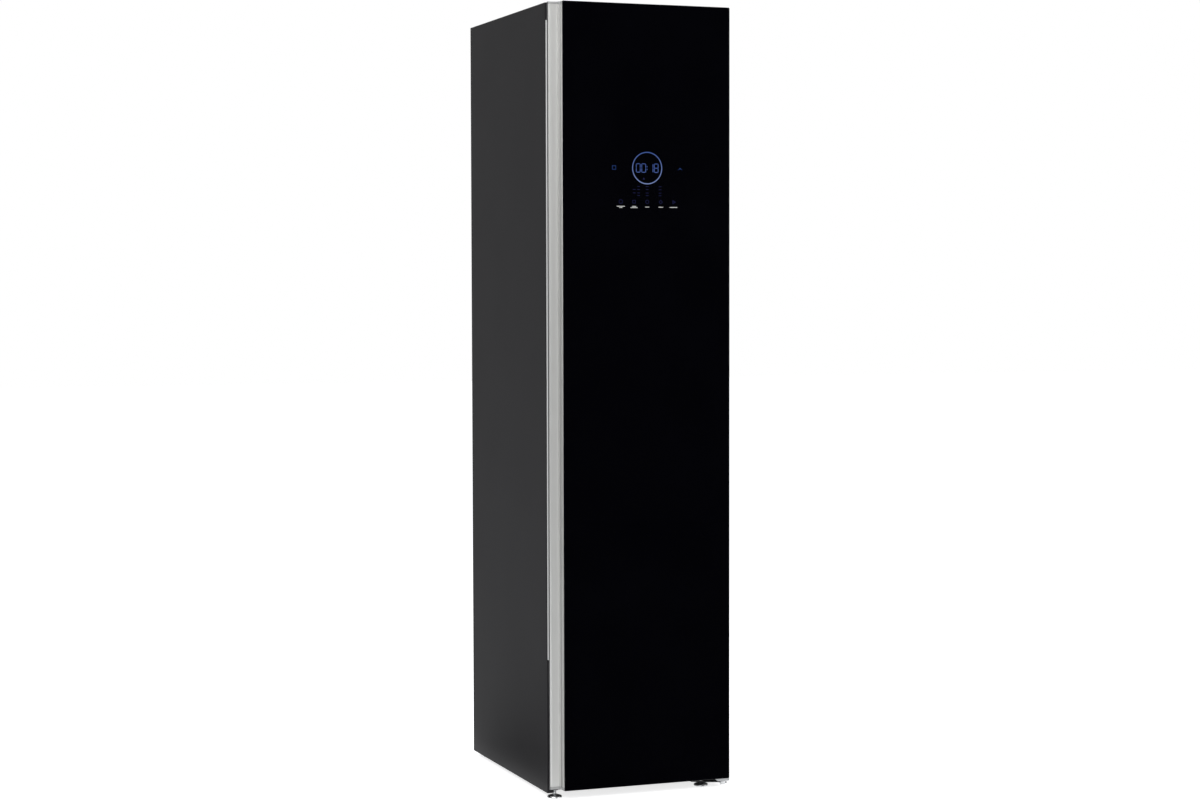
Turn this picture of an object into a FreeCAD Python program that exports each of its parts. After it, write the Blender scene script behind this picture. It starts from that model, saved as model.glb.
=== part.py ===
"""Clothes care steam cabinet: a tall free-standing cabinet with one hinged glass door.

Frame: origin on the floor under the middle of the cabinet, +X to the door's hinge side (the right,
seen from the front), +Y to the back, +Z up, millimetres.  Every driving size is a named cell of the
sheet "Sizes"; every sub-part is bound to those cells by expressions.
"""
import FreeCAD, Part
import math
import os
from types import SimpleNamespace

import Sketcher

DOC = FreeCAD.newDocument("SteamCabinet")
Vector = FreeCAD.Vector

# ------------------------------------------------------------------------------------------------
# Driving dimensions, in millimetres unless the note says otherwise
# ------------------------------------------------------------------------------------------------
DRIVING_SIZES = [
    # whole cabinet
    ("width", 445.0, "outside width"),
    ("depth", 610.0, "front of the glass to the rear flanges"),
    ("height", 1850.0, "floor to the top of the glass"),
    ("door_projection", 44.0, "front of the glass ahead of the cabinet's front plane"),
    ("cabinet_drop", 0.8, "top of the cabinet below the top of the glass"),
    ("underside", 12.0, "floor to the lower edge of the side panels"),
    ("sheet", 1.0, "sheet steel"),
    ("fold", 15.0, "width of the side panels' folded flanges"),
    ("fold_radius", 1.5, "outside radius of a fold"),
    ("seam", 0.2, "gap between pieces that are slid together"),
    ("running_clearance", 0.05, "radial clearance of a pin or stem in its bore"),
    # front frame and chamber
    ("frame_thickness", 4.0, "front frame moulding"),
    ("frame_bottom", 38.0, "lower edge of the front frame above the floor"),
    ("chamber_inset", 32.5, "treatment chamber's side walls inside the cabinet's sides"),
    ("rear_space", 43.0, "rear liner ahead of the cabinet's back"),
    ("chamber_bottom", 345.0, "treatment chamber floor above the room floor"),
    ("ceiling_drop", 51.2, "treatment chamber ceiling below the top of the cabinet"),
    ("liner_wall", 2.5, "wall of a moulded liner"),
    ("ceiling_wall", 3.0, "ceiling moulding"),
    ("floor_wall", 5.0, "chamber floor moulding"),
    ("opening_margin", 3.0, "front opening inside the chamber's floor and ceiling"),
    ("duct_width", 220.0, "air duct cover on the rear liner"),
    ("duct_depth", 22.0, "air duct cover on the rear liner"),
    ("duct_drop", 158.0, "upper end of the air duct cover below the ceiling"),
    ("shelf_level", 520.0, "underside of the garment shelf"),
    ("shelf_thickness", 10.0, "garment shelf"),
    ("shelf_inset", 4.0, "garment shelf clear of each side liner"),
    # tanks and machine bay
    ("bay_bottom", 52.0, "lower edge of the tank bay's opening"),
    ("bay_top", 270.0, "upper edge of the tank bay's opening"),
    ("bay_inset", 30.5, "tank bay's side walls inside the cabinet's sides"),
    ("bay_rear", 104.0, "rear wall of the tank bay ahead of the cabinet's middle"),
    ("bay_wall", 2.5, "tank bay moulding"),
    ("tank_play", 4.0, "water tank clear of each side of its compartment"),
    ("tank_gap", 7.0, "water tanks ahead of the bay's rear wall"),
    ("tank_height", 200.0, "one water tank without its lid"),
    ("tank_wall", 2.5, "one water tank"),
    ("tank_setback", 30.0, "front of the tanks behind the cabinet's front plane"),
    ("tank_corner", 12.0, "radius of a tank's upright edges"),
    ("base_floor", 14.0, "underside of the base pan"),
    ("base_wall", 3.0, "base pan moulding"),
    ("base_setback", 20.0, "base pan behind the cabinet's front plane"),
    ("base_rim", 24.0, "height of the base pan's rim"),
    # door
    ("door_gap", 12.0, "back of the door ahead of the cabinet's front plane"),
    ("door_bottom", 23.0, "lower edge of the glass above the floor"),
    ("door_wall", 2.5, "door frame moulding"),
    ("glass", 4.0, "door glass"),
    ("glass_left", 26.6, "left edge of the glass from the cabinet's left side"),
    ("strip_bottom", 25.0, "lower end of the handle strip above the floor"),
    ("strip_drop", 1.4, "upper end of the handle strip below the top of the glass"),
    ("strip_back", 19.8, "back of the handle strip ahead of the cabinet's front plane"),
    ("cap_top", 4.2, "height of the strip's upper end cap"),
    ("cap_bottom", 5.6, "height of the strip's lower end cap"),
    ("cap_joint", 0.6, "shadow line between strip and end cap"),
    ("gasket_above", 10.0, "upper edge of the door gasket above the chamber ceiling"),
    ("gasket_below", 19.0, "lower edge of the door gasket below the chamber floor"),
    ("gasket_edge", 4.0, "door gasket from the cabinet's sides"),
    ("gasket_width", 14.0, "door gasket"),
    ("gasket_gap", 0.8, "door gasket clear of the cabinet's front plane"),
    ("bulge_border", 17.0, "door liner's raised field beyond the press plate at each side"),
    ("bulge_depth", 18.0, "raised field behind the cabinet's front plane"),
    ("bulge_margin", 10.0, "raised field inside the chamber's opening, above and below"),
    ("liner_plate", 2.0, "door's inner liner"),
    # hinges
    ("hinge_inset", 8.5, "door's hinge axis from the cabinet's right side"),
    ("hinge_ahead", 24.0, "door's hinge axis ahead of the cabinet's front plane"),
    ("hinge_plate", 3.0, "hinge bracket sheet"),
    ("hinge_pin_radius", 4.0, "hinge pins"),
    ("hinge_collar_radius", 6.5, "collar of the lower hinge pin"),
    ("hinge_tongue_radius", 8.0, "rounded end of a hinge bracket"),
    ("hinge_recess", 5.0, "depth of the top panel's recess for the upper bracket"),
    # feet
    ("foot_radius", 17.75, "levelling foot disc"),
    ("foot_rim", 6.0, "height of the levelling foot's rim"),
    ("stem_radius", 4.5, "levelling foot stem"),
    ("stem_top", 34.0, "upper end of the levelling foot stem above the floor"),
    ("foot_front", 5.0, "front feet behind the cabinet's front plane"),
    ("foot_left", 19.1, "front left foot from the cabinet's side"),
    ("foot_right", 53.2, "front right foot from the cabinet's side, clear of the hinge"),
    ("foot_rear", 40.0, "rear feet ahead of the cabinet's back"),
    ("foot_side", 32.5, "rear feet from the cabinet's sides"),
    # moving hanger rail
    ("rail_ends", 40.0, "ends of the hanger rail from the chamber's side walls"),
    ("rail_drop", 34.0, "top of the hanger rail below the chamber ceiling"),
    ("rail_height", 18.0, "hanger rail section"),
    ("rail_thickness", 14.0, "hanger rail section"),
    ("rail_stroke", 16.0, "travel of the hanger rail to each side"),
    ("crank_radius", 18.0, "crank pin from the drive motor's axis"),
    ("crank_pin", 3.0, "radius of the crank pin"),
    # blower
    ("wheel_radius", 68.0, "blower wheel"),
    ("wheel_width", 52.0, "blower wheel"),
    ("wheel_side", 121.5, "blower axis from the cabinet's left side"),
    ("wheel_z", 152.0, "blower axis above the floor"),
    ("blower_space", 155.0, "front wall of the blower housing ahead of the cabinet's back"),
    ("scroll_depth", 76.0, "blower housing"),
    # lint filter
    ("filter_width", 224.0, "lint filter frame"),
    ("filter_depth", 18.0, "lint filter frame"),
    ("filter_bottom", 280.0, "lower edge of the lint filter above the floor"),
    ("filter_front", 25.0, "lint filter behind the cabinet's front plane"),
    # trouser press
    ("press_width", 296.0, "trouser press plate"),
    ("press_height", 560.0, "trouser press plate"),
    ("press_thickness", 12.0, "trouser press plate"),
    ("press_drop", 345.0, "upper edge of the trouser press below the liner's raised field"),
]

SHEET = DOC.addObject("Spreadsheet::Sheet", "Sizes")
for row, (alias, value, note) in enumerate(DRIVING_SIZES, start=1):
    SHEET.set("A%d" % row, alias)
    SHEET.set("B%d" % row, str(value))
    SHEET.set("C%d" % row, note)
    SHEET.setAlias("B%d" % row, alias)
DOC.recompute()


class Size:
    """A length that carries both its value and the sheet expression it comes from."""

    def __init__(self, value, text):
        self.value = float(value)
        self.text = text

    def joined(self, sign, other, value):
        return Size(value, "(%s %s %s)" % (self.text, sign, other.text))

    def __add__(self, other):
        other = as_size(other)
        return self.joined("+", other, self.value + other.value)

    def __sub__(self, other):
        other = as_size(other)
        return self.joined("-", other, self.value - other.value)

    def __mul__(self, other):
        other = as_size(other)
        return self.joined("*", other, self.value * other.value)

    def __truediv__(self, other):
        other = as_size(other)
        return self.joined("/", other, self.value / other.value)

    def __radd__(self, other):
        return as_size(other) + self

    def __rsub__(self, other):
        return as_size(other) - self

    def __rmul__(self, other):
        return as_size(other) * self

    def __neg__(self):
        return Size(-self.value, "(-1 * %s)" % self.text)


def as_size(number):
    """Take a plain number as a Size whose expression is that number."""
    if isinstance(number, Size):
        return number
    return Size(number, "%.10g" % number if number >= 0 else "(%.10g)" % number)


mm = SimpleNamespace(**{alias: Size(value, "Sizes." + alias) for alias, value, _ in DRIVING_SIZES})

# ------------------------------------------------------------------------------------------------
# Modelling functions
# ------------------------------------------------------------------------------------------------
# A sketch on the plane square to an axis: the plane's role and the sign of its normal.
PLANES = {"X": ("YZ_Plane", 1), "Y": ("XZ_Plane", -1), "Z": ("XY_Plane", 1)}
NODES = []


def bind(target, path, length):
    """Tie one property or constraint to the sheet."""
    length = as_size(length)
    target.setExpression(path, length.text)


def new_body(label):
    """Start a sub-part: one PartDesign body, labelled with its node's name."""
    body = DOC.addObject("PartDesign::Body", label)
    body.Label = label
    body.AllowCompound = True
    NODES.append(body)
    return body


def new_sketch(body, axis, level, across=0, along=0):
    """Add a sketch square to an axis at a level, with its origin moved across and along."""
    role, sign = PLANES[axis]
    plane = [item for item in body.Origin.OriginFeatures if item.Role == role][0]
    sketch = body.newObject("Sketcher::SketchObject", body.Name + "_sketch")
    sketch.AttachmentSupport = [(plane, "")]
    sketch.MapMode = "FlatFace"
    for path, length in (("x", across), ("y", along), ("z", as_size(level) * sign)):
        bind(sketch, "AttachmentOffset.Base." + path, length)
    return sketch


def draw_outline(sketch, points):
    """Draw a closed outline and bind every corner to the sheet.

    A corner is (across, along); the run that follows it is straight, or an arc through a third
    point when the corner is (across, along, through).
    """
    corners = [(as_size(point[0]), as_size(point[1])) for point in points]
    places = [Vector(u.value, v.value, 0) for u, v in corners]
    count = len(corners)
    first = sketch.GeometryCount
    ends = []
    for i, point in enumerate(points):
        start, finish = places[i], places[(i + 1) % count]
        if len(point) == 2:
            sketch.addGeometry(Part.LineSegment(start, finish), False)
            ends.append((1, 2))
            continue
        through = Vector(as_size(point[2][0]).value, as_size(point[2][1]).value, 0)
        circle = Part.Arc(start, through, finish).toShape().Curve
        forward = (through - start).cross(finish - through).z > 0
        begin, end = (start, finish) if forward else (finish, start)
        low, high = [math.atan2(place.y - circle.Center.y, place.x - circle.Center.x)
                     for place in (begin, end)]
        arc = Part.ArcOfCircle(Part.Circle(circle.Center, Vector(0, 0, 1), circle.Radius),
                               low, high if high > low else high + math.tau)
        sketch.addGeometry(arc, False)
        ends.append((1, 2) if forward else (2, 1))
        sketch.addConstraint(Sketcher.Constraint("Radius", first + i, arc.Radius))
    joins = [Sketcher.Constraint("Coincident", first + i, ends[i][1],
                                 first + (i + 1) % count, ends[(i + 1) % count][0])
             for i in range(count)]
    sketch.addConstraint(joins)
    for i, (u, v) in enumerate(corners):
        for kind, length in (("DistanceX", u), ("DistanceY", v)):
            number = sketch.addConstraint(
                Sketcher.Constraint(kind, -1, 1, first + i, ends[i][0], length.value))
            bind(sketch, "Constraints[%d]" % number, length)


def draw_circle(sketch, across, along, radius):
    """Draw a circle and bind its centre and radius to the sheet."""
    across, along, radius = as_size(across), as_size(along), as_size(radius)
    centre = Vector(across.value, along.value, 0)
    geometry = sketch.addGeometry(Part.Circle(centre, Vector(0, 0, 1), radius.value), False)
    for kind, length in (("DistanceX", across), ("DistanceY", along)):
        number = sketch.addConstraint(Sketcher.Constraint(kind, -1, 1, geometry, 3, length.value))
        bind(sketch, "Constraints[%d]" % number, length)
    number = sketch.addConstraint(Sketcher.Constraint("Radius", geometry, radius.value))
    bind(sketch, "Constraints[%d]" % number, radius)


def draw(sketch, shape):
    """Draw either a circle (across, along, radius) or an outline (a list of corners)."""
    if isinstance(shape, tuple):
        draw_circle(sketch, *shape)
    else:
        draw_outline(sketch, shape)


def add(body, axis, shapes, low, high):
    """Add the extrusion of closed shapes between two levels of an axis."""
    start = high if axis == "Y" else low
    sketch = new_sketch(body, axis, start)
    for shape in shapes:
        draw(sketch, shape)
    pad = body.newObject("PartDesign::Pad", body.Name + "_pad")
    pad.Profile = sketch
    bind(pad, "Length", as_size(high) - low)
    sketch.Visibility = False
    return pad


def cut(body, axis, shapes, low, high):
    """Cut the extrusion of closed shapes between two levels of an axis."""
    start = low if axis == "Y" else high
    sketch = new_sketch(body, axis, start)
    for shape in shapes:
        draw(sketch, shape)
    pocket = body.newObject("PartDesign::Pocket", body.Name + "_pocket")
    pocket.Profile = sketch
    bind(pocket, "Length", as_size(high) - low)
    return pocket


# A turned part's sketch plane, its axis in that sketch, and where the part's axis crosses.
TURNING = {"Z": ("Y", "V_Axis"), "Y": ("Z", "V_Axis"), "X": ("Z", "H_Axis")}


def turn(body, axis, centre, profile):
    """Revolve a half section about an axis through a point; corners are (radius, position)."""
    x, y, z = centre
    plane, line = TURNING[axis]
    if axis == "Z":
        sketch = new_sketch(body, plane, y, across=x, along=z)
    elif axis == "Y":
        sketch = new_sketch(body, plane, z, across=x, along=y)
    else:
        sketch = new_sketch(body, plane, z, across=x, along=y)
        profile = [(position, radius) for radius, position in profile]
    draw_outline(sketch, profile)
    revolution = body.newObject("PartDesign::Revolution", body.Name + "_turned")
    revolution.Profile = sketch
    revolution.ReferenceAxis = (sketch, [line])
    revolution.Angle = 360.0
    return revolution


def sorted_pair(first, second):
    """Two ends of a range, lower one first."""
    return (first, second) if first.value < second.value else (second, first)


def rectangle(low_u, low_v, high_u, high_v):
    """Corners of an upright rectangle."""
    return [(low_u, low_v), (high_u, low_v), (high_u, high_v), (low_u, high_v)]


def soft_rectangle(low_u, low_v, high_u, high_v, radius):
    """Corners of an upright rectangle with rounded corners."""
    cut_off = radius * (1 - math.sqrt(0.5))
    return [(low_u + radius, low_v),
            (high_u - radius, low_v, (high_u - cut_off, low_v + cut_off)),
            (high_u, low_v + radius),
            (high_u, high_v - radius, (high_u - cut_off, high_v - cut_off)),
            (high_u - radius, high_v),
            (low_u + radius, high_v, (low_u + cut_off, high_v - cut_off)),
            (low_u, high_v - radius),
            (low_u, low_v + radius, (low_u + cut_off, low_v + cut_off))]


def box(body, x, y, z):
    """Add a block between the two ends of each axis."""
    return add(body, "Z", [rectangle(x[0], y[0], x[1], y[1])], z[0], z[1])


def hollow(body, x, y, z):
    """Cut a block between the two ends of each axis."""
    return cut(body, "Z", [rectangle(x[0], y[0], x[1], y[1])], z[0], z[1])


def repeat(body, feature, axis, count, pitch):
    """Repeat a feature along an axis of the body, at a pitch."""
    pattern = body.newObject("PartDesign::LinearPattern", body.Name + "_row")
    pattern.Originals = [feature]
    role = {"X": "X_Axis", "Y": "Y_Axis", "Z": "Z_Axis"}[axis]
    line = [item for item in body.Origin.OriginFeatures if item.Role == role][0]
    pattern.Direction = (line, [""])
    pattern.Occurrences = count
    bind(pattern, "Length", as_size(pitch) * (count - 1))
    body.Tip = pattern
    return pattern


def edges_where(feature, test):
    """Names of the feature's straight or curved edges whose middle and direction pass a test."""
    names = []
    for number, edge in enumerate(feature.Shape.Edges, start=1):
        low, high = edge.ParameterRange
        middle = edge.valueAt((low + high) / 2)
        direction = edge.tangentAt((low + high) / 2)
        if test(middle, direction):
            names.append("Edge%d" % number)
    return names


def upright(direction):
    return abs(direction.z) > 0.999


def rounded(body, radius, test):
    """Round the edges of the body so far that pass a test."""
    DOC.recompute()
    base = body.Tip
    fillet = body.newObject("PartDesign::Fillet", body.Name + "_round")
    fillet.Base = (base, edges_where(base, test))
    bind(fillet, "Radius", radius)
    return fillet


def chamfered(body, size, test):
    """Bevel the edges of the body so far that pass a test."""
    DOC.recompute()
    base = body.Tip
    bevel = body.newObject("PartDesign::Chamfer", body.Name + "_bevel")
    bevel.Base = (base, edges_where(base, test))
    bind(bevel, "Size", size)
    return bevel


def near(first, second):
    return abs(first - as_size(second).value) < 0.05


# ------------------------------------------------------------------------------------------------
# Planes and levels that several pieces share
# ------------------------------------------------------------------------------------------------
HALF = mm.width / 2
BACK = mm.depth / 2
FRONT = mm.door_projection - mm.depth / 2
TOP = mm.height - mm.cabinet_drop
CHAMBER = HALF - mm.chamber_inset
REAR_LINER = BACK - mm.rear_space
CHAMBER_TOP = TOP - mm.ceiling_drop
FRAME_BACK = FRONT + mm.frame_thickness
FLANGE = HALF - mm.fold
SKIN = HALF - mm.sheet
HINGE_X = HALF - mm.hinge_inset
HINGE_Y = FRONT - mm.hinge_ahead
RECESS_LEFT = HALF - 70
RECESS_BACK = FRONT + 55


def ahead(distance):
    """The plane a distance ahead of the cabinet's front plane."""
    return FRONT - distance


# ------------------------------------------------------------------------------------------------
# Cabinet: folded sheet steel outside
# ------------------------------------------------------------------------------------------------
def side_panel(label, side, relief):
    """One side panel: a tall sheet, a flange folded in front and back, relieved under the top."""
    body = new_body(label)
    outer = HALF * side
    inner = SKIN * side
    edge = FLANGE * side
    add(body, "Z", [[(outer, FRONT), (edge, FRONT), (edge, FRONT + mm.sheet),
                     (inner, FRONT + mm.sheet), (inner, BACK - mm.sheet),
                     (edge, BACK - mm.sheet), (edge, BACK), (outer, BACK)]],
        mm.underside, TOP)
    hollow(body, sorted_pair(inner, edge), (FRONT, FRONT + mm.sheet), (TOP - relief, TOP))
    rounded(body, mm.fold_radius, lambda middle, direction:
            upright(direction) and near(middle.x, outer))
    return body


side_panel("left_side_panel", -1, mm.sheet)
side_panel("right_side_panel", 1, mm.hinge_recess + mm.sheet)


def top_panel():
    """Top sheet with turned-down edges and a pressed recess for the upper hinge bracket."""
    body = new_body("top_panel")
    box_top = TOP - mm.sheet
    floor = TOP - mm.hinge_recess
    add(body, "Z", [[(-SKIN, FRONT), (RECESS_LEFT, FRONT), (RECESS_LEFT, RECESS_BACK),
                     (SKIN, RECESS_BACK), (SKIN, BACK - mm.sheet * 2), (-SKIN, BACK - mm.sheet * 2)]],
        box_top, TOP)
    for side in (-1, 1):
        box(body, sorted_pair(SKIN * side, (SKIN - mm.sheet) * side),
            (RECESS_BACK, BACK - mm.sheet * 2), (TOP - mm.fold, box_top))
    box(body, (-(SKIN - mm.sheet), SKIN - mm.sheet),
        (BACK - mm.sheet * 3, BACK - mm.sheet * 2), (TOP - mm.fold, box_top))
    box(body, (RECESS_LEFT - mm.sheet, SKIN), (FRONT, RECESS_BACK + mm.sheet),
        (floor - mm.sheet, box_top))
    hollow(body, (RECESS_LEFT, SKIN), (FRONT, RECESS_BACK), (floor, TOP))
    return body


top_panel()


# ------------------------------------------------------------------------------------------------
# Cabinet: rear sheet, base pan and front frame
# ------------------------------------------------------------------------------------------------
INLET_X = 47.5 - HALF
INLET_Z = 60.0
INLET_HALF_WIDTH = 13.5
INLET_HALF_HEIGHT = 9.5
LOUVRE_COUNT = 10
LOUVRE_PITCH = 18
LOUVRE_FOOT = 90
BEAD_COUNT = 4
BEAD_FOOT = 420
BEAD_HEIGHT = 240
BEAD_HEAD = 109.2
BEAD_PROUD = 0.9


def rear_panel():
    """Rear sheet behind the side flanges, with pressed beads and machine bay louvres."""
    body = new_body("rear_panel")
    outside = BACK - mm.sheet
    inside = BACK - mm.sheet * 2
    edge = SKIN - mm.seam
    add(body, "Y", [rectangle(-edge, mm.underside, edge, TOP - mm.sheet)], inside, outside)
    bead_half = FLANGE - 20
    bead_face = outside + BEAD_PROUD
    bead_pitch = (TOP - BEAD_FOOT - BEAD_HEIGHT - BEAD_HEAD) / (BEAD_COUNT - 1)
    for number in range(BEAD_COUNT):
        level = bead_pitch * number + BEAD_FOOT
        add(body, "Y", [rectangle(-bead_half, level, bead_half, level + BEAD_HEIGHT)],
            outside, bead_face)
    for left, right in ((-150, -30), (30, 150)):
        slot = cut(body, "Y", [rectangle(left, LOUVRE_FOOT, right, LOUVRE_FOOT + 5)],
                   inside, outside)
        repeat(body, slot, "Z", LOUVRE_COUNT, LOUVRE_PITCH)
    cut(body, "Y", [rectangle(INLET_X - INLET_HALF_WIDTH, INLET_Z - INLET_HALF_HEIGHT,
                              INLET_X + INLET_HALF_WIDTH, INLET_Z + INLET_HALF_HEIGHT)],
        inside, outside)
    chamfered(body, 0.8, lambda middle, direction: near(middle.y, bead_face))
    return body


rear_panel()

FEET = (
    ("front_left_foot", mm.foot_left - HALF, FRONT + mm.foot_front),
    ("front_right_foot", HALF - mm.foot_right, FRONT + mm.foot_front),
    ("rear_left_foot", mm.foot_side - HALF, BACK - mm.foot_rear),
    ("rear_right_foot", HALF - mm.foot_side, BACK - mm.foot_rear),
)
HINGE_FOOT = HALF - mm.foot_right
BASE_FRONT = FRONT + mm.base_setback
BASE_TOP = mm.base_floor + mm.base_wall
LUG_HALF = 15.0
BOSS_RADIUS = 8.0
LUG_UNDERSIDE = mm.base_floor + 4
BOSS_TOP = mm.stem_top + mm.base_wall


def base_pan():
    """Moulded tray that carries the machine bay, with a threaded boss for each levelling foot."""
    body = new_body("base_pan")
    edge = SKIN - mm.seam
    rear = BACK - mm.sheet * 2 - mm.seam
    rim = mm.base_floor + mm.base_rim
    box(body, (-edge, edge), (BASE_FRONT, rear), (mm.base_floor, rim))
    hollow(body, (-(edge - mm.base_wall), edge - mm.base_wall),
           (BASE_FRONT + mm.base_wall, rear - mm.base_wall), (BASE_TOP, rim))
    for label, x, y in FEET[:2]:
        box(body, (x - LUG_HALF, x + LUG_HALF), (FRONT + mm.sheet * 2, BASE_FRONT),
            (LUG_UNDERSIDE, LUG_UNDERSIDE + mm.base_wall * 2))
    for label, x, y in FEET:
        bottom = LUG_UNDERSIDE if label.startswith("front") else mm.base_floor
        add(body, "Z", [(x, y, BOSS_RADIUS)], bottom, BOSS_TOP)
    for label, x, y in FEET:
        bore = mm.stem_radius + mm.running_clearance
        cut(body, "Z", [(x, y, bore)], mm.base_floor, BOSS_TOP)
    hollow(body, (-SKIN, -(FLANGE - mm.seam)), (FRONT - BOSS_RADIUS, FRONT + mm.sheet + mm.seam),
           (LUG_UNDERSIDE, BOSS_TOP))
    box(body, (HINGE_FOOT - 19, SKIN - 6), (BASE_FRONT, FRONT + 58),
        (mm.underside, mm.base_floor))
    for y in (-24, 122):
        box(body, (4, SKIN - 20), (y, y + mm.base_wall), (BASE_TOP, BASE_TOP + 8))
    return body


base_pan()


def levelling_foot(label, x, y):
    """One chromed levelling foot: a disc turned in one piece with its threaded stem."""
    body = new_body(label)
    turn(body, "Z", (x, y, 0),
         [(0, 0), (mm.foot_radius, 0), (mm.foot_radius, mm.foot_rim),
          (mm.stem_radius, mm.foot_rim), (mm.stem_radius, mm.stem_top), (0, mm.stem_top)])
    return body


for label, x, y in FEET:
    levelling_foot(label, x, y)

SWITCH_X = 72.5 - HALF
SWITCH_Z = TOP - 25.2
SWITCH_RADIUS = 4.0
WINDOW_BOTTOM = mm.chamber_bottom - mm.opening_margin
WINDOW_TOP = CHAMBER_TOP - mm.opening_margin
BAY = HALF - mm.bay_inset


def front_frame():
    """Front moulding between the side flanges: one window for the chamber, one for the tanks."""
    body = new_body("front_frame")
    edge = FLANGE - mm.seam
    add(body, "Y", [rectangle(-edge, mm.frame_bottom, edge, TOP - mm.sheet),
                    rectangle(-CHAMBER, WINDOW_BOTTOM, CHAMBER, WINDOW_TOP),
                    rectangle(-BAY, mm.bay_bottom, BAY, mm.bay_top)], FRONT, FRAME_BACK)
    cut(body, "Y", [rectangle(RECESS_LEFT - mm.sheet - mm.seam, TOP - mm.hinge_recess - mm.sheet,
                              edge, TOP - mm.sheet)], FRONT, FRAME_BACK)
    cut(body, "Y", [(SWITCH_X, SWITCH_Z, SWITCH_RADIUS + mm.running_clearance)],
        FRONT, FRAME_BACK)
    return body


front_frame()


def door_switch():
    """Spring plunger of the door switch, held in by the closed door."""
    body = new_body("door_switch_plunger")
    radius = SWITCH_RADIUS
    tip = ahead(mm.door_gap) + 0.3
    collar = FRAME_BACK + 4.2
    add(body, "Y", [(SWITCH_X, SWITCH_Z, radius)], tip, collar)
    box(body, (SWITCH_X - radius - 2, SWITCH_X + radius + 2), (collar, collar + 2),
        (SWITCH_Z - radius - 2, SWITCH_Z + radius + 2))
    return body


door_switch()

# ------------------------------------------------------------------------------------------------
# Treatment chamber: moulded liners round the garment space
# ------------------------------------------------------------------------------------------------
LEDGE_DEPTH = 12.0
RIB_COUNT = 6
RIB_FOOT = 90.0
RIB_HEAD = 110.0
SHELF_FRONT = FRONT + 50
SHELF_BACK = REAR_LINER - 40
FLOOR_UNDER = mm.chamber_bottom - mm.floor_wall
DUCT_TOP = CHAMBER_TOP - mm.duct_drop


def chamber_side_liners():
    """Two mirrored side liners, each with upright ribs and the ledge that carries the shelf."""
    body = new_body("chamber_side_liners")
    for side in (-1, 1):
        inner = CHAMBER * side
        outer = (CHAMBER + mm.liner_wall) * side
        ledge = (CHAMBER - LEDGE_DEPTH) * side
        box(body, sorted_pair(inner, outer), (FRAME_BACK, REAR_LINER + mm.liner_wall),
            (FLOOR_UNDER, CHAMBER_TOP))
        add(body, "Y", [[(inner, mm.shelf_level - 14), (ledge, mm.shelf_level - 4),
                         (ledge, mm.shelf_level), (inner, mm.shelf_level)]],
            SHELF_FRONT, SHELF_BACK)
        rib = (CHAMBER - 1.5) * side
        first = FRONT + 70
        feature = add(body, "Z", [[(inner, first), (rib, first + 2), (rib, first + 6),
                                   (inner, first + 8)]],
                      mm.shelf_level + RIB_FOOT, CHAMBER_TOP - RIB_HEAD)
        repeat(body, feature, "Y", RIB_COUNT, (REAR_LINER - 93 - first) / (RIB_COUNT - 1))
    return body


chamber_side_liners()


def chamber_rear_liner():
    """Rear wall of the chamber."""
    body = new_body("chamber_rear_liner")
    box(body, (-CHAMBER, CHAMBER), (REAR_LINER, REAR_LINER + mm.liner_wall),
        (FLOOR_UNDER, CHAMBER_TOP))
    return body


chamber_rear_liner()


def rear_duct_cover():
    """Shallow channel on the rear wall, slotted low and high for the circulating air."""
    body = new_body("rear_duct_cover")
    half = mm.duct_width / 2
    face = REAR_LINER - mm.duct_depth
    box(body, (-half, half), (face, REAR_LINER), (mm.chamber_bottom, DUCT_TOP))
    chamfered(body, 6, lambda middle, direction:
              near(middle.y, face) and not near(middle.z, mm.chamber_bottom))
    hollow(body, (-(half - mm.liner_wall), half - mm.liner_wall),
           (face + mm.liner_wall, REAR_LINER), (mm.chamber_bottom, DUCT_TOP - mm.liner_wall * 2))
    for level, count in ((mm.shelf_level + 60, 9), (DUCT_TOP - 170, 10)):
        slot = cut(body, "Y", [rectangle(-(half - 30), level, half - 30, level + 5)],
                   face, face + mm.liner_wall)
        repeat(body, slot, "Z", count, 13)
    return body


rear_duct_cover()

RAIL_HALF = CHAMBER - mm.rail_ends
ARM_X = RAIL_HALF - 8
ARM_HALF = 5.0
ARM_DEPTH = 6.0
LAMP_HALF = 60.0
LAMP_FRONT = FRONT + 28
LAMP_BACK = FRONT + 54
CEILING_TOP = CHAMBER_TOP + mm.ceiling_wall


def chamber_ceiling():
    """Ceiling moulding with the lamp window and two slots for the moving rail's arms."""
    body = new_body("chamber_ceiling")
    edge = CHAMBER + mm.liner_wall
    box(body, (-edge, edge), (FRAME_BACK, REAR_LINER + mm.liner_wall),
        (CHAMBER_TOP, CEILING_TOP))
    hollow(body, (-LAMP_HALF, LAMP_HALF), (LAMP_FRONT, LAMP_BACK), (CHAMBER_TOP, CEILING_TOP))
    reach = mm.rail_stroke + ARM_HALF + 2
    for side in (-1, 1):
        hollow(body, sorted_pair((ARM_X - reach) * side, (ARM_X + reach) * side),
               (-(ARM_DEPTH + 1.5), ARM_DEPTH + 1.5), (CHAMBER_TOP, CEILING_TOP))
    return body


chamber_ceiling()


def ceiling_lamp():
    """Flat diffuser over the interior lamp, clipped in the ceiling's window."""
    body = new_body("ceiling_lamp")
    half = LAMP_HALF - mm.seam
    box(body, (-half, half), (LAMP_FRONT + mm.seam, LAMP_BACK - mm.seam),
        (CHAMBER_TOP - 1.5, CEILING_TOP + 4))
    box(body, (-(half + 5), half + 5), (LAMP_FRONT - 5, LAMP_BACK + 5),
        (CEILING_TOP, CEILING_TOP + 4))
    chamfered(body, 1.2, lambda middle, direction: near(middle.z, CHAMBER_TOP - 1.5))
    return body


ceiling_lamp()

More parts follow.
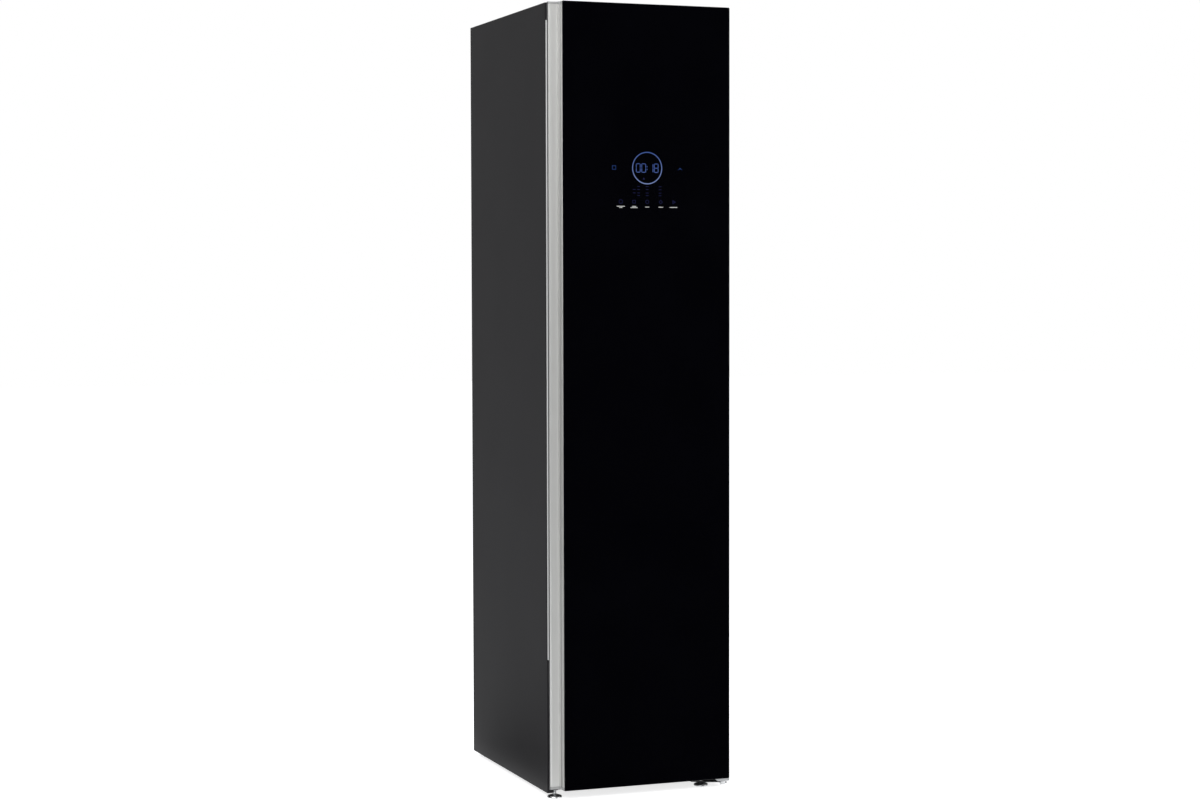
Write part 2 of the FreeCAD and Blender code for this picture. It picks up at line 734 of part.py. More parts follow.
SCROLL_FRONT = BACK - mm.blower_space
FILTER = mm.filter_width / 2
FILTER_FRONT = FRONT + mm.filter_front
FILTER_BACK = FILTER_FRONT + mm.filter_depth
NOZZLE_X = HALF - 94.5
NOZZLE_Y = BACK - 100
NOZZLE_BORE = 12.0
WHEEL_X = mm.wheel_side - HALF
OUTLET_X = (WHEEL_X - 77, WHEEL_X - 21)
OUTLET_FRONT = SCROLL_FRONT + 10
OUTLET_SLOTS = 8
OUTLET_PITCH = 8
DISH_HALF = 150.0
DISH_DEPTH = 2.0
DISH_CORNER = 6.0
DRAIN = (90.0, 0.0)
DRAIN_RADIUS = 6.0


def chamber_floor():
    """Moulded floor: filter slot at the front, drain dish, air outlet and steam port behind."""
    body = new_body("chamber_floor")
    box(body, (-CHAMBER, CHAMBER), (FRAME_BACK, REAR_LINER), (FLOOR_UNDER, mm.chamber_bottom))
    hollow(body, (-DISH_HALF, DISH_HALF), (FILTER_BACK + 20, OUTLET_FRONT - 20),
           (mm.chamber_bottom - DISH_DEPTH, mm.chamber_bottom))
    chamfered(body, DISH_CORNER, lambda middle, direction:
              upright(direction) and abs(middle.x) < DISH_HALF + 1)
    hollow(body, (-(FILTER + 1), FILTER + 1), (FILTER_FRONT - 1, FILTER_BACK + 1),
           (FLOOR_UNDER, mm.chamber_bottom))
    slot = hollow(body, OUTLET_X, (OUTLET_FRONT, OUTLET_FRONT + 4),
                  (FLOOR_UNDER, mm.chamber_bottom))
    repeat(body, slot, "Y", OUTLET_SLOTS, OUTLET_PITCH)
    cut(body, "Z", [(NOZZLE_X, NOZZLE_Y, NOZZLE_BORE), (*DRAIN, DRAIN_RADIUS)],
        FLOOR_UNDER, mm.chamber_bottom)
    return body


chamber_floor()

SHELF_SLOTS = 12
SHELF_SLOT = 20.0
SHELF_BORDER = 24.0
DRIVE_SPACE = 85.0


def garment_shelf():
    """Lift-out slatted shelf that rests on the side liners' ledges."""
    body = new_body("garment_shelf")
    half = CHAMBER - mm.shelf_inset
    top = mm.shelf_level + mm.shelf_thickness
    box(body, (-half, half), (SHELF_FRONT, SHELF_BACK), (mm.shelf_level, top))
    chamfered(body, 8, lambda middle, direction: upright(direction))
    chamfered(body, 1.5, lambda middle, direction: near(middle.z, top))
    first = SHELF_FRONT + SHELF_BORDER
    pitch = (SHELF_BACK - SHELF_BORDER - SHELF_SLOT - first) / (SHELF_SLOTS - 1)
    for side in (-1, 1):
        slot = hollow(body, sorted_pair(as_size(8 * side), (half - SHELF_BORDER) * side),
                      (first, first + SHELF_SLOT), (mm.shelf_level, top))
        repeat(body, slot, "Y", SHELF_SLOTS, pitch)
    return body


garment_shelf()


def foam_insulation():
    """Foam slabs between the steel skins and the liners: two sides, rear, and two on top."""
    body = new_body("foam_insulation")
    inner = CHAMBER + mm.liner_wall + mm.seam
    outer = SKIN - mm.seam - mm.sheet
    front = FRONT + 30
    rear = REAR_LINER + mm.liner_wall + mm.seam
    behind = BACK - mm.sheet * 2 - mm.seam
    for side in (-1, 1):
        box(body, sorted_pair(inner * side, outer * side), (front, behind),
            (FLOOR_UNDER, CHAMBER_TOP))
    box(body, (-(inner - 1), inner - 1), (rear, behind), (FLOOR_UNDER, CHAMBER_TOP))
    top_low = CEILING_TOP + mm.seam
    top_high = TOP - mm.fold
    box(body, (-inner, inner), (front + 30, -DRIVE_SPACE), (top_low, top_high))
    box(body, (-inner, inner), (DRIVE_SPACE, behind), (top_low, top_high))
    return body


foam_insulation()

# ------------------------------------------------------------------------------------------------
# Moving hanger rail: carriage, rail, crank and motor above the ceiling
# ------------------------------------------------------------------------------------------------
RAIL_TOP = CHAMBER_TOP - mm.rail_drop
GUIDE_TOP = CEILING_TOP + 3
CARRIAGE_TOP = GUIDE_TOP + 3
CRANK_LOW = CARRIAGE_TOP + 3
CRANK_TOP = CRANK_LOW + 4
SHAFT_RADIUS = 3.0
MOTOR_LOW = CRANK_TOP + 2
PORTAL_TOP = TOP - mm.fold + 4
SLOT_PLAY = 1.6
CRANK_HALF = 8.0
CARRIAGE_HALF = 34.0
GUIDE_INNER = 30.0
GUIDE_OUTER = 48.0
PORTAL_INNER = 38.0
PORTAL_HALF = 34.0
PORTAL_SHEET = 2.0
GEARBOX_HALF = 26.0
NOTCH_X = (-105, -35, 35, 105)


def hanger_rail():
    """Rail with four notches for coat hangers, hung on two arms through the ceiling."""
    body = new_body("hanger_rail")
    under = RAIL_TOP - mm.rail_height
    thick = mm.rail_thickness / 2
    box(body, (-RAIL_HALF, RAIL_HALF), (-thick, thick), (under, RAIL_TOP))
    chamfered(body, 3, lambda middle, direction: abs(direction.x) > 0.999)
    for x in NOTCH_X:
        cut(body, "Y", [[(x - 7, RAIL_TOP), (x - 3, RAIL_TOP - 5),
                         (x + 3, RAIL_TOP - 5), (x + 7, RAIL_TOP)]], -thick, thick)
    for side in (-1, 1):
        box(body, (ARM_X * side - ARM_HALF, ARM_X * side + ARM_HALF),
            (-ARM_DEPTH, ARM_DEPTH), (RAIL_TOP - 2, GUIDE_TOP))
    return body


hanger_rail()


def rail_carriage():
    """Plate that slides on the guides and carries the rail, with the cross slot for the crank."""
    body = new_body("rail_carriage")
    reach = mm.crank_radius + mm.crank_pin + SLOT_PLAY
    box(body, (-(RAIL_HALF + 8), RAIL_HALF + 8), (-CARRIAGE_HALF, CARRIAGE_HALF),
        (GUIDE_TOP, CARRIAGE_TOP))
    chamfered(body, 8, lambda middle, direction: upright(direction))
    slot_half = mm.crank_pin + SLOT_PLAY
    hollow(body, (-slot_half, slot_half), (-reach, reach), (GUIDE_TOP, CARRIAGE_TOP))
    return body


rail_carriage()


def rail_drive():
    """Two guides on the ceiling and the portal that holds the drive motor over the carriage."""
    body = new_body("rail_drive_frame")
    reach = CHAMBER - 5
    for side in (-1, 1):
        outer = as_size(GUIDE_OUTER * side)
        box(body, (-reach, reach), sorted_pair(outer, as_size(GUIDE_INNER * side)),
            (CEILING_TOP, GUIDE_TOP))
        box(body, (-PORTAL_HALF, PORTAL_HALF), sorted_pair(outer, as_size(PORTAL_INNER * side)),
            (GUIDE_TOP, PORTAL_TOP))
    box(body, (-PORTAL_HALF, PORTAL_HALF), (-GUIDE_OUTER, GUIDE_OUTER),
        (PORTAL_TOP - PORTAL_SHEET, PORTAL_TOP))
    return body


rail_drive()


def rail_motor():
    """Flat geared motor hung under the portal, shaft downwards."""
    body = new_body("rail_motor")
    box(body, (-GEARBOX_HALF, GEARBOX_HALF), (-GEARBOX_HALF, GEARBOX_HALF),
        (MOTOR_LOW, PORTAL_TOP - PORTAL_SHEET))
    chamfered(body, 6, lambda middle, direction: upright(direction))
    add(body, "Z", [(0, 0, SHAFT_RADIUS)], CRANK_LOW + 1, MOTOR_LOW)
    return body


rail_motor()


def drive_crank():
    """Crank arm on the motor shaft, its pin down in the carriage's cross slot."""
    body = new_body("drive_crank")
    bore = SHAFT_RADIUS + mm.running_clearance
    box(body, (-CRANK_HALF, CRANK_HALF), (-(mm.crank_radius + 7), CRANK_HALF),
        (CRANK_LOW, CRANK_TOP))
    chamfered(body, 4, lambda middle, direction: upright(direction))
    cut(body, "Z", [(0, 0, bore)], CRANK_LOW, CRANK_TOP)
    add(body, "Z", [(0, -mm.crank_radius, mm.crank_pin)], GUIDE_TOP + 0.5, CRANK_LOW + 1)
    return body


drive_crank()

# ------------------------------------------------------------------------------------------------
# Lint filter at the chamber's front
# ------------------------------------------------------------------------------------------------
FILTER_TOP = mm.chamber_bottom + 8


def lint_filter_frame():
    """Filter frame that lifts out of its slot by the lip on top."""
    body = new_body("lint_filter_frame")
    border = 9
    add(body, "Y", [rectangle(-FILTER, mm.filter_bottom, FILTER, mm.chamber_bottom - 1),
                    rectangle(-(FILTER - border), mm.filter_bottom + border,
                              FILTER - border, mm.chamber_bottom - 12)],
        FILTER_FRONT, FILTER_BACK)
    for x in (-38, 38):
        box(body, (x - 2, x + 2), (FILTER_FRONT + 2, FILTER_BACK - 2),
            (mm.filter_bottom + border, mm.chamber_bottom - 12))
    add(body, "X", [[(FILTER_FRONT - 2, mm.chamber_bottom), (FILTER_BACK + 3, mm.chamber_bottom),
                     (FILTER_BACK + 3, mm.chamber_bottom + 3), (FILTER_FRONT + 9, FILTER_TOP),
                     (FILTER_FRONT + 4, FILTER_TOP), (FILTER_FRONT - 2, mm.chamber_bottom + 3)]],
        -(FILTER + 4), FILTER + 4)
    box(body, (-FILTER, FILTER), (FILTER_FRONT, FILTER_BACK),
        (mm.chamber_bottom - 1, mm.chamber_bottom))
    return body


lint_filter_frame()


def lint_filter_mesh():
    """Woven gauze held in the filter frame."""
    body = new_body("lint_filter_mesh")
    border = 9
    middle = (FILTER_FRONT + FILTER_BACK) / 2
    for left, right in ((-(FILTER - border), -40), (-36, 36), (40, FILTER - border)):
        box(body, sorted_pair(as_size(left), as_size(right)), (middle - 0.4, middle + 0.4),
            (mm.filter_bottom + border, mm.chamber_bottom - 12))
    return body


lint_filter_mesh()

# ------------------------------------------------------------------------------------------------
# Water tanks and their bay
# ------------------------------------------------------------------------------------------------
BAY_REAR = -mm.bay_rear
DIVIDER = 2.0
TANK_FRONT = FRONT + mm.tank_setback
TANK_BACK = BAY_REAR - mm.tank_gap
TANK_TOP = mm.bay_bottom + mm.tank_height
TANK_CENTRE = (BAY + DIVIDER) / 2
CAP_RADIUS = 17.0


def tank_bay():
    """Open-fronted housing with one compartment for each tank."""
    body = new_body("tank_bay")
    outer = BAY + mm.bay_wall
    box(body, (-outer, outer), (FRAME_BACK, BAY_REAR + mm.bay_wall),
        (mm.bay_bottom - mm.bay_wall, mm.bay_top + mm.bay_wall))
    hollow(body, (-BAY, -DIVIDER), (FRAME_BACK, BAY_REAR), (mm.bay_bottom, mm.bay_top))
    hollow(body, (DIVIDER, BAY), (FRAME_BACK, BAY_REAR), (mm.bay_bottom, mm.bay_top))
    return body


tank_bay()


def water_tank(label, lid_label, side):
    """One tank and its lid: a thin-walled moulding with a grip, open at the top under the lid."""
    tank = new_body(label)
    middle = TANK_CENTRE * side
    half = (BAY - DIVIDER) / 2 - mm.tank_play
    box(tank, (middle - half, middle + half), (TANK_FRONT, TANK_BACK), (mm.bay_bottom, TANK_TOP))
    rounded(tank, mm.tank_corner, lambda point, direction: upright(direction))
    wall = mm.tank_wall
    cut(tank, "Z", [soft_rectangle(middle - half + wall, TANK_FRONT + wall, middle + half - wall,
                                   TANK_BACK - wall, mm.tank_corner - wall)],
        mm.bay_bottom + wall, TANK_TOP)
    lid = new_body(lid_label)
    lid_top = TANK_TOP + 6
    box(lid, (middle - half, middle + half), (TANK_FRONT, TANK_BACK), (TANK_TOP, lid_top))
    rounded(lid, mm.tank_corner, lambda point, direction: upright(direction))
    add(lid, "Z", [(middle, TANK_BACK - 34, CAP_RADIUS)], lid_top - 1, lid_top + 5)
    add(lid, "X", [[(TANK_FRONT, TANK_TOP), (TANK_FRONT + 20, TANK_TOP),
                    (TANK_FRONT + 20, lid_top + 4), (TANK_FRONT - 8, lid_top + 4),
                    (TANK_FRONT - 10, lid_top - 4), (TANK_FRONT - 7, lid_top - 5),
                    (TANK_FRONT - 5, lid_top)]], middle - 48, middle + 48)
    return tank, lid


water_tank("supply_tank", "supply_tank_lid", -1)
water_tank("drain_tank", "drain_tank_lid", 1)

# ------------------------------------------------------------------------------------------------
# Machine bay: air duct, heat pump, blower, steam and water
# ------------------------------------------------------------------------------------------------
DUCT_LEFT = 24.5 - HALF
DUCT_RIGHT = -8.0
DUCT_WALL = 2.5
DUCT_FRONT = BAY_REAR + mm.bay_wall + 3
DUCT_LOW = BASE_TOP
INTAKE_LOW = mm.bay_top + mm.bay_wall + 2
INTAKE_HALF = FILTER + 6
COIL_PORTS = ((46.0, 250.0, 4.0), (-44.0, 196.0, 5.0))


def air_duct():
    """Return duct: a tray under the chamber's front and the heat pump's casing behind the tanks."""
    body = new_body("air_duct")
    intake_back = DUCT_FRONT + 60
    box(body, (-INTAKE_HALF, INTAKE_HALF), (FRAME_BACK + 1, intake_back),
        (INTAKE_LOW, FLOOR_UNDER))
    box(body, (DUCT_LEFT, DUCT_RIGHT), (DUCT_FRONT, SCROLL_FRONT), (DUCT_LOW, FLOOR_UNDER))
    hollow(body, (-(INTAKE_HALF - DUCT_WALL), INTAKE_HALF - DUCT_WALL),
           (FRAME_BACK + 1 + DUCT_WALL, intake_back - DUCT_WALL),
           (INTAKE_LOW + DUCT_WALL, FLOOR_UNDER))
    hollow(body, (DUCT_LEFT + DUCT_WALL, DUCT_RIGHT - DUCT_WALL),
           (DUCT_FRONT + DUCT_WALL, SCROLL_FRONT),
           (DUCT_LOW + DUCT_WALL, FLOOR_UNDER - DUCT_WALL))
    hollow(body, (DUCT_LEFT + DUCT_WALL, DUCT_RIGHT - DUCT_WALL),
           (DUCT_FRONT + DUCT_WALL, intake_back - DUCT_WALL),
           (FLOOR_UNDER - DUCT_WALL, FLOOR_UNDER))
    cut(body, "X", [(y, z, radius + mm.seam) for y, z, radius in COIL_PORTS],
        DUCT_RIGHT - DUCT_WALL, DUCT_RIGHT)
    return body


air_duct()

FIN_PITCH = 10.5
FIN_COUNT = 16
FIN_GAP = 7.0
BEND_COUNT = 4
BEND_HALF = 14.0
BEND_REACH = 8.0
COIL_LEFT = DUCT_LEFT + 14
COIL_END = COIL_LEFT + FIN_PITCH * (FIN_COUNT - 1) + 4
COIL_LOW = DUCT_LOW + DUCT_WALL
COIL_HIGH = 296.0


def finned_coil(label, front, back):
    """Finned heat exchanger: upright fins on a tube core, with return bends at both ends."""
    body = new_body(label)
    middle = (front + back) / 2
    box(body, (COIL_LEFT, COIL_END), (front, back), (COIL_LOW, COIL_HIGH))
    for low, high in ((front, middle - 3), (middle + 3, back)):
        slot = hollow(body, (COIL_LEFT + 2, COIL_LEFT + 2 + FIN_GAP), (low, high),
                      (COIL_LOW, COIL_HIGH))
        repeat(body, slot, "X", FIN_COUNT - 1, FIN_PITCH)
    for end, side in ((COIL_LEFT, -1), (COIL_END, 1)):
        for level in range(BEND_COUNT):
            z = COIL_LOW + 30 + level * 66
            bend = sorted_pair(as_size(end), as_size(end + BEND_REACH * side))
            add(body, "X", [rectangle(middle - 4, z - BEND_HALF, middle + 4, z + BEND_HALF)],
                *bend)
    return body


finned_coil("evaporator", -66, -22)
finned_coil("condenser", 24, 68)

SCROLL_TOP = FLOOR_UNDER
SCROLL_WALL = 2.5
SCROLL_BACK = SCROLL_FRONT + mm.scroll_depth
SCROLL_RADII = (76.0, 81.0, 86.0)
THROAT = 16.0
DIAGONAL = math.sqrt(0.5)


def scroll_outline(inset):
    """Outline of the blower's volute, inset from its outside: three arcs that grow, and a throat."""
    x, z = WHEEL_X, mm.wheel_z
    first, second, third = [radius - inset for radius in SCROLL_RADII]
    step = SCROLL_RADII[1] - SCROLL_RADII[0]
    throat = THROAT + inset
    throat_angle = math.acos(-throat / first)
    rise = first * math.sin(throat_angle)
    left = x - step - third
    return [
        (x - throat, z + rise,
         (x + first * math.cos(throat_angle / 2), z + first * math.sin(throat_angle / 2))),
        (x + first, z, (x - step + second * DIAGONAL, z - second * DIAGONAL)),
        (x - step, z - second, (x - step - third * DIAGONAL, z + step - third * DIAGONAL)),
        (left, z + step),
        (left, SCROLL_TOP),
        (x - throat, SCROLL_TOP),
    ]


def fan_housing():
    """Blower volute: front wall with the inlet eye, spiral wall, back wall with the shaft hole."""
    body = new_body("fan_housing")
    add(body, "Y", [scroll_outline(0)], SCROLL_FRONT, SCROLL_BACK)
    cut(body, "Y", [scroll_outline(SCROLL_WALL)], SCROLL_FRONT + SCROLL_WALL,
        SCROLL_BACK - SCROLL_WALL)
    cut(body, "Y", [(WHEEL_X, mm.wheel_z, 50)], SCROLL_FRONT,
        SCROLL_FRONT + SCROLL_WALL)
    cut(body, "Y", [(WHEEL_X, mm.wheel_z, 12)], SCROLL_BACK - SCROLL_WALL, SCROLL_BACK)
    return body


fan_housing()

BLADE_COUNT = 24
BLADE_DEPTH = 11.0
BLADE_SHEET = 1.2
FAN_SHAFT = 4.0
HUB_RADIUS = 12.0
WHEEL_FRONT = SCROLL_FRONT + 12
WHEEL_BACK = WHEEL_FRONT + mm.wheel_width
PLATE = 2.0


def fan_wheel():
    """Blower wheel: back plate and hub, a ring of forward-curved blades and a front ring."""
    body = new_body("fan_wheel")
    outer = mm.wheel_radius
    root = outer - BLADE_DEPTH
    bore = FAN_SHAFT + mm.running_clearance
    x, z = WHEEL_X, mm.wheel_z
    turn(body, "Y", (x, 0, z),
         [(bore, WHEEL_BACK - 26), (HUB_RADIUS, WHEEL_BACK - 26), (HUB_RADIUS, WHEEL_BACK - PLATE),
          (outer, WHEEL_BACK - PLATE), (outer, WHEEL_BACK), (bore, WHEEL_BACK)])
    blade = add(body, "Y", [[
        (x, z + root), (x - 1.2, z + root + BLADE_DEPTH * 0.5), (x + 1.6, z + outer - 0.6),
        (x + 1.6 + BLADE_SHEET, z + outer - 0.9),
        (x - 1.2 + BLADE_SHEET, z + root + BLADE_DEPTH * 0.5), (x + BLADE_SHEET, z + root)]],
        WHEEL_FRONT + 1, WHEEL_BACK - 1)
    pattern = body.newObject("PartDesign::PolarPattern", "blade_ring")
    pattern.Originals = [blade]
    axis_sketch = new_sketch(body, "Y", WHEEL_BACK, across=x, along=z)
    draw_circle(axis_sketch, 0, 0, HUB_RADIUS)
    pattern.Axis = (axis_sketch, ["N_Axis"])
    pattern.Angle = 360.0
    pattern.Occurrences = BLADE_COUNT
    body.Tip = pattern
    add(body, "Y", [(x, z, outer), (x, z, root + 3)], WHEEL_FRONT, WHEEL_FRONT + PLATE)
    return body


fan_wheel()


MOTOR_RADIUS = 36.0
MOTOR_LENGTH = 36.0


def fan_motor():
    """Blower motor on the back of the volute, its shaft through the wheel's hub."""
    body = new_body("fan_motor")
    turn(body, "Y", (WHEEL_X, 0, mm.wheel_z),
         [(0, WHEEL_BACK - 28), (FAN_SHAFT, WHEEL_BACK - 28), (FAN_SHAFT, SCROLL_BACK),
          (MOTOR_RADIUS, SCROLL_BACK), (MOTOR_RADIUS, SCROLL_BACK + MOTOR_LENGTH),
          (0, SCROLL_BACK + MOTOR_LENGTH)])
    return body


fan_motor()

COMPRESSOR_X = HALF - 100.5
COMPRESSOR_Y = 40.0
CAN_RADIUS = 52.0
CAN_HEIGHT = 180.0
CROWN_RADIUS = 34.0
FOOT_CIRCLE = 66.0
FOOT_PLATE = 3.0
BOTTLE_X = COMPRESSOR_X - 78
BOTTLE_RADIUS = 19.0
BOTTLE_TOP = 142.0
GROMMET_RADIUS = 11.0
GROMMET_TOP = BASE_TOP + 16


def around_compressor(degrees):
    """A point on the circle of the compressor's grommets."""
    angle = math.radians(degrees)
    return (COMPRESSOR_X + FOOT_CIRCLE * math.cos(angle),
            COMPRESSOR_Y + FOOT_CIRCLE * math.sin(angle))


GROMMETS = [around_compressor(degrees) for degrees in (90, 210, 330)]


def compressor():
    """Hermetic compressor: shouldered can on a triangular foot plate, with its suction bottle."""
    body = new_body("compressor")
    low = GROMMET_TOP
    shoulder = low + CAN_HEIGHT - 22
    add(body, "Z", [(COMPRESSOR_X, COMPRESSOR_Y, CAN_RADIUS)], low, shoulder)
    add(body, "Z", [(COMPRESSOR_X, COMPRESSOR_Y, CROWN_RADIUS)], shoulder, low + CAN_HEIGHT)
    (rear_x, rear_y), (left_x, left_y), (right_x, right_y) = GROMMETS
    add(body, "Z", [[(rear_x - 12, rear_y + 10), (left_x - 12, left_y - 8),
                     (right_x + 12, right_y - 8), (rear_x + 12, rear_y + 10)]],
        low, low + FOOT_PLATE)
    add(body, "Z", [(BOTTLE_X, COMPRESSOR_Y, BOTTLE_RADIUS)], low + 40, low + BOTTLE_TOP)
    for level in (low + 60, low + 120):
        box(body, (BOTTLE_X + 14, COMPRESSOR_X - CAN_RADIUS + 4),
            (COMPRESSOR_Y - 3, COMPRESSOR_Y + 3), (level, level + 6))
    return body


compressor()


def compressor_grommets():
    """Three rubber grommets between the compressor's foot plate and the base pan."""
    body = new_body("compressor_grommets")
    add(body, "Z", [(x, y, GROMMET_RADIUS) for x, y in GROMMETS], BASE_TOP, GROMMET_TOP)
    return body


compressor_grommets()


def tube_shape(points, radius):
    """A bent tube: a straight run between every two points, each joined by a mitre."""
    runs = []
    for i, (start, finish) in enumerate(zip(points, points[1:])):
        along = (finish - start).normalize()
        reach = radius * 3
        low = start if i == 0 else start - along * reach
        high = finish if i == len(points) - 2 else finish + along * reach
        run = Part.makeCylinder(radius, (high - low).Length, low, high - low)
        for corner, other in ((start, points[i - 1] if i else None),
                              (finish, points[i + 2] if i < len(points) - 2 else None)):
            if other is None:
                continue
            inward = (finish if corner == start else start) - corner
            normal = (inward.normalize() - (other - corner).normalize()).normalize()
            side = Part.makePlane(radius * 12, radius * 12, corner, normal)
            side.translate(corner - side.BoundBox.Center)
            run = run.cut(side.extrude(normal * (-radius * 8)))
        runs.append(run)
    return runs[0].fuse(runs[1:]).removeSplitter()


def tube_set(label, routes):
    """A sub-part made of bent tubes, one solid a tube."""
    feature = DOC.addObject("Part::Feature", label)
    feature.Label = label
    shapes = []
    for points, radius in routes:
        corners = [Vector(*[as_size(length).value for length in point]) for point in points]
        shapes.append(tube_shape(corners, radius))
    feature.Shape = Part.makeCompound(shapes)
    NODES.append(feature)
    return feature


COIL_RIGHT = COIL_END + BEND_REACH
ELBOW = 9.0
(HOT_Y, HOT_Z, HOT_RADIUS), (COLD_Y, COLD_Z, COLD_RADIUS) = COIL_PORTS
tube_set("refrigerant_lines", [
    ([(COMPRESSOR_X, HOT_Y, GROMMET_TOP + CAN_HEIGHT), (COMPRESSOR_X, HOT_Y, HOT_Z - ELBOW),
      (COMPRESSOR_X - ELBOW, HOT_Y, HOT_Z), (COIL_RIGHT, HOT_Y, HOT_Z)], HOT_RADIUS),
    ([(BOTTLE_X, COMPRESSOR_Y, GROMMET_TOP + BOTTLE_TOP), (BOTTLE_X, COMPRESSOR_Y, COLD_Z + 25),
      (BOTTLE_X, COLD_Y, COLD_Z + 25), (BOTTLE_X - ELBOW * 2, COLD_Y, COLD_Z),
      (COIL_RIGHT, COLD_Y, COLD_Z)], COLD_RADIUS),
])

BOILER_X = (COMPRESSOR_X - 86, COMPRESSOR_X + 56)
BOILER_Y = (BACK - 169, BACK - 59)
BOILER_LOW = BASE_TOP + 42
BOILER_TOP = BOILER_LOW + 92
BOILER_FLANGE = 8
BOILER_LEG = 6
OUTLET_BOSS = 10
HEATER_ENDS_Y = (BOILER_Y[0] + 30, BOILER_Y[0] + 60)


def steam_generator():
    """Cast boiler with a bolted flange, heater ends and the steam outlet on top, on four legs."""
    body = new_body("steam_generator")
    box(body, BOILER_X, BOILER_Y, (BOILER_LOW, BOILER_TOP))
    chamfered(body, 8, lambda middle, direction: upright(direction))
    flange = BOILER_TOP - 30
    box(body, (BOILER_X[0] - BOILER_FLANGE, BOILER_X[1] + BOILER_FLANGE),
        (BOILER_Y[0] - BOILER_FLANGE, BOILER_Y[1] + BOILER_FLANGE), (flange, flange + 6))
    for x in BOILER_X:
        for y in BOILER_Y:
            box(body, (x - BOILER_LEG, x + BOILER_LEG), (y - BOILER_LEG, y + BOILER_LEG),
                (BASE_TOP, flange))
    add(body, "X", [(y, BOILER_LOW + 30, 5) for y in HEATER_ENDS_Y],
        BOILER_X[0] - 16, BOILER_X[0] + 1)
    add(body, "Z", [(NOZZLE_X, NOZZLE_Y, OUTLET_BOSS)], BOILER_TOP, BOILER_TOP + 10)
    return body


steam_generator()

tube_set("steam_hose", [
    ([(NOZZLE_X, NOZZLE_Y, BOILER_TOP + 10), (NOZZLE_X, NOZZLE_Y, FLOOR_UNDER - 4)], 8.0),
])

NOZZLE_CAP = 24.0
NOZZLE_HEAD = 18.0
NOZZLE_RISE = 13.0
NOZZLE_SLOTS = 4
NOZZLE_PITCH = 7.6


def steam_nozzle():
    """Steam outlet: a ribbed cap above the chamber floor on a spigot through it."""
    body = new_body("steam_nozzle")
    spigot = NOZZLE_BORE - 0.3
    deck = mm.chamber_bottom
    add(body, "Z", [(NOZZLE_X, NOZZLE_Y, spigot)], FLOOR_UNDER - 4, deck)
    box(body, (NOZZLE_X - NOZZLE_CAP, NOZZLE_X + NOZZLE_CAP),
        (NOZZLE_Y - NOZZLE_CAP, NOZZLE_Y + NOZZLE_CAP), (deck, deck + 4))
    chamfered(body, 5, lambda middle, direction:
              upright(direction) and near(abs(middle.x - NOZZLE_X.value), NOZZLE_CAP))
    box(body, (NOZZLE_X - NOZZLE_HEAD, NOZZLE_X + NOZZLE_HEAD),
        (NOZZLE_Y - NOZZLE_HEAD, NOZZLE_Y + NOZZLE_HEAD), (deck + 4, deck + NOZZLE_RISE))
    slot = hollow(body, (NOZZLE_X - NOZZLE_HEAD, NOZZLE_X + NOZZLE_HEAD),
                  (NOZZLE_Y - 13, NOZZLE_Y - 10), (deck + 8, deck + NOZZLE_RISE))
    repeat(body, slot, "Y", NOZZLE_SLOTS, NOZZLE_PITCH)
    return body


steam_nozzle()


PUMPS_X = (COMPRESSOR_X - 74, COMPRESSOR_X + 10)
PUMP_HALF = 18.0
PUMP_MOTOR = 15.0


def water_pumps():
    """Supply pump and drain pump on the base pan behind the tanks."""
    body = new_body("water_pumps")
    z = BASE_TOP + 22
    head = BAY_REAR + 8
    for x in PUMPS_X:
        box(body, (x - PUMP_HALF, x + PUMP_HALF), (head, head + 30), (BASE_TOP, BASE_TOP + 42))
        add(body, "Y", [(x, z, PUMP_MOTOR)], head + 30, head + 65)
        add(body, "Z", [(x, head + 16, 4)], BASE_TOP + 42, BASE_TOP + 58)
    return body


water_pumps()


BOARD_Y = (-84.0, 116.0)
BOARD_Z = (196.0, 322.0)
# Transformer, relays, heat sink and connector: front corner, width, height, thickness.
BOARD_BLOCKS = ((-70, 210, 30, 40, 16), (-30, 206, 44, 30, 12), (30, 212, 26, 60, 18),
                (70, 204, 34, 26, 10))


def control_board():
    """Circuit board on pillars on the bay's right wall, with its relays, coils and capacitors."""
    body = new_body("control_board")
    face = SKIN - 12
    back = face + 1.6
    low_y, high_y = BOARD_Y
    low_z, high_z = BOARD_Z
    box(body, (face, back), BOARD_Y, BOARD_Z)
    for y, z, wide, tall, thick in BOARD_BLOCKS:
        box(body, (face - thick, face), (y, y + wide), (z, z + tall))
    add(body, "X", [(y, high_z - 30, 9) for y in (-58, -30)], face - 26, face)
    for y in (low_y + 2, high_y - 9):
        for z in (low_z + 2, high_z - 9):
            box(body, (back, SKIN), (y, y + 7), (z, z + 7))
    return body


control_board()


def power_inlet():
    """Appliance inlet behind the rear panel: flange, socket mouth and three blades."""
    body = new_body("power_inlet")
    mount = BACK - mm.sheet * 2
    x, z = INLET_X, INLET_Z
    box(body, (x - 25, x + 25), (mount - 2, mount), (z - 12, z + 12))
    box(body, (x - 13, x + 13), (mount - 22, BACK - 0.4), (z - 9, z + 9))
    hollow(body, (x - 11.5, x + 11.5), (mount - 18, BACK - 0.4), (z - 7.5, z + 7.5))
    for dx, dz in ((-7, 2), (7, 2), (0, -3)):
        box(body, (x + dx - 1, x + dx + 1), (mount - 19, mount - 3), (z + dz - 2, z + dz + 2))
    return body


power_inlet()

# ------------------------------------------------------------------------------------------------
# Hinges
# ------------------------------------------------------------------------------------------------
UPPER_LOW = TOP - mm.hinge_recess
LOWER_TOP = mm.underside
LOWER_LOW = LOWER_TOP - mm.hinge_plate
SHOE_HEIGHT = 6.5
SHOE_LOW = mm.door_bottom + 0.5 - SHOE_HEIGHT
PIN_BORE = mm.hinge_pin_radius + mm.running_clearance


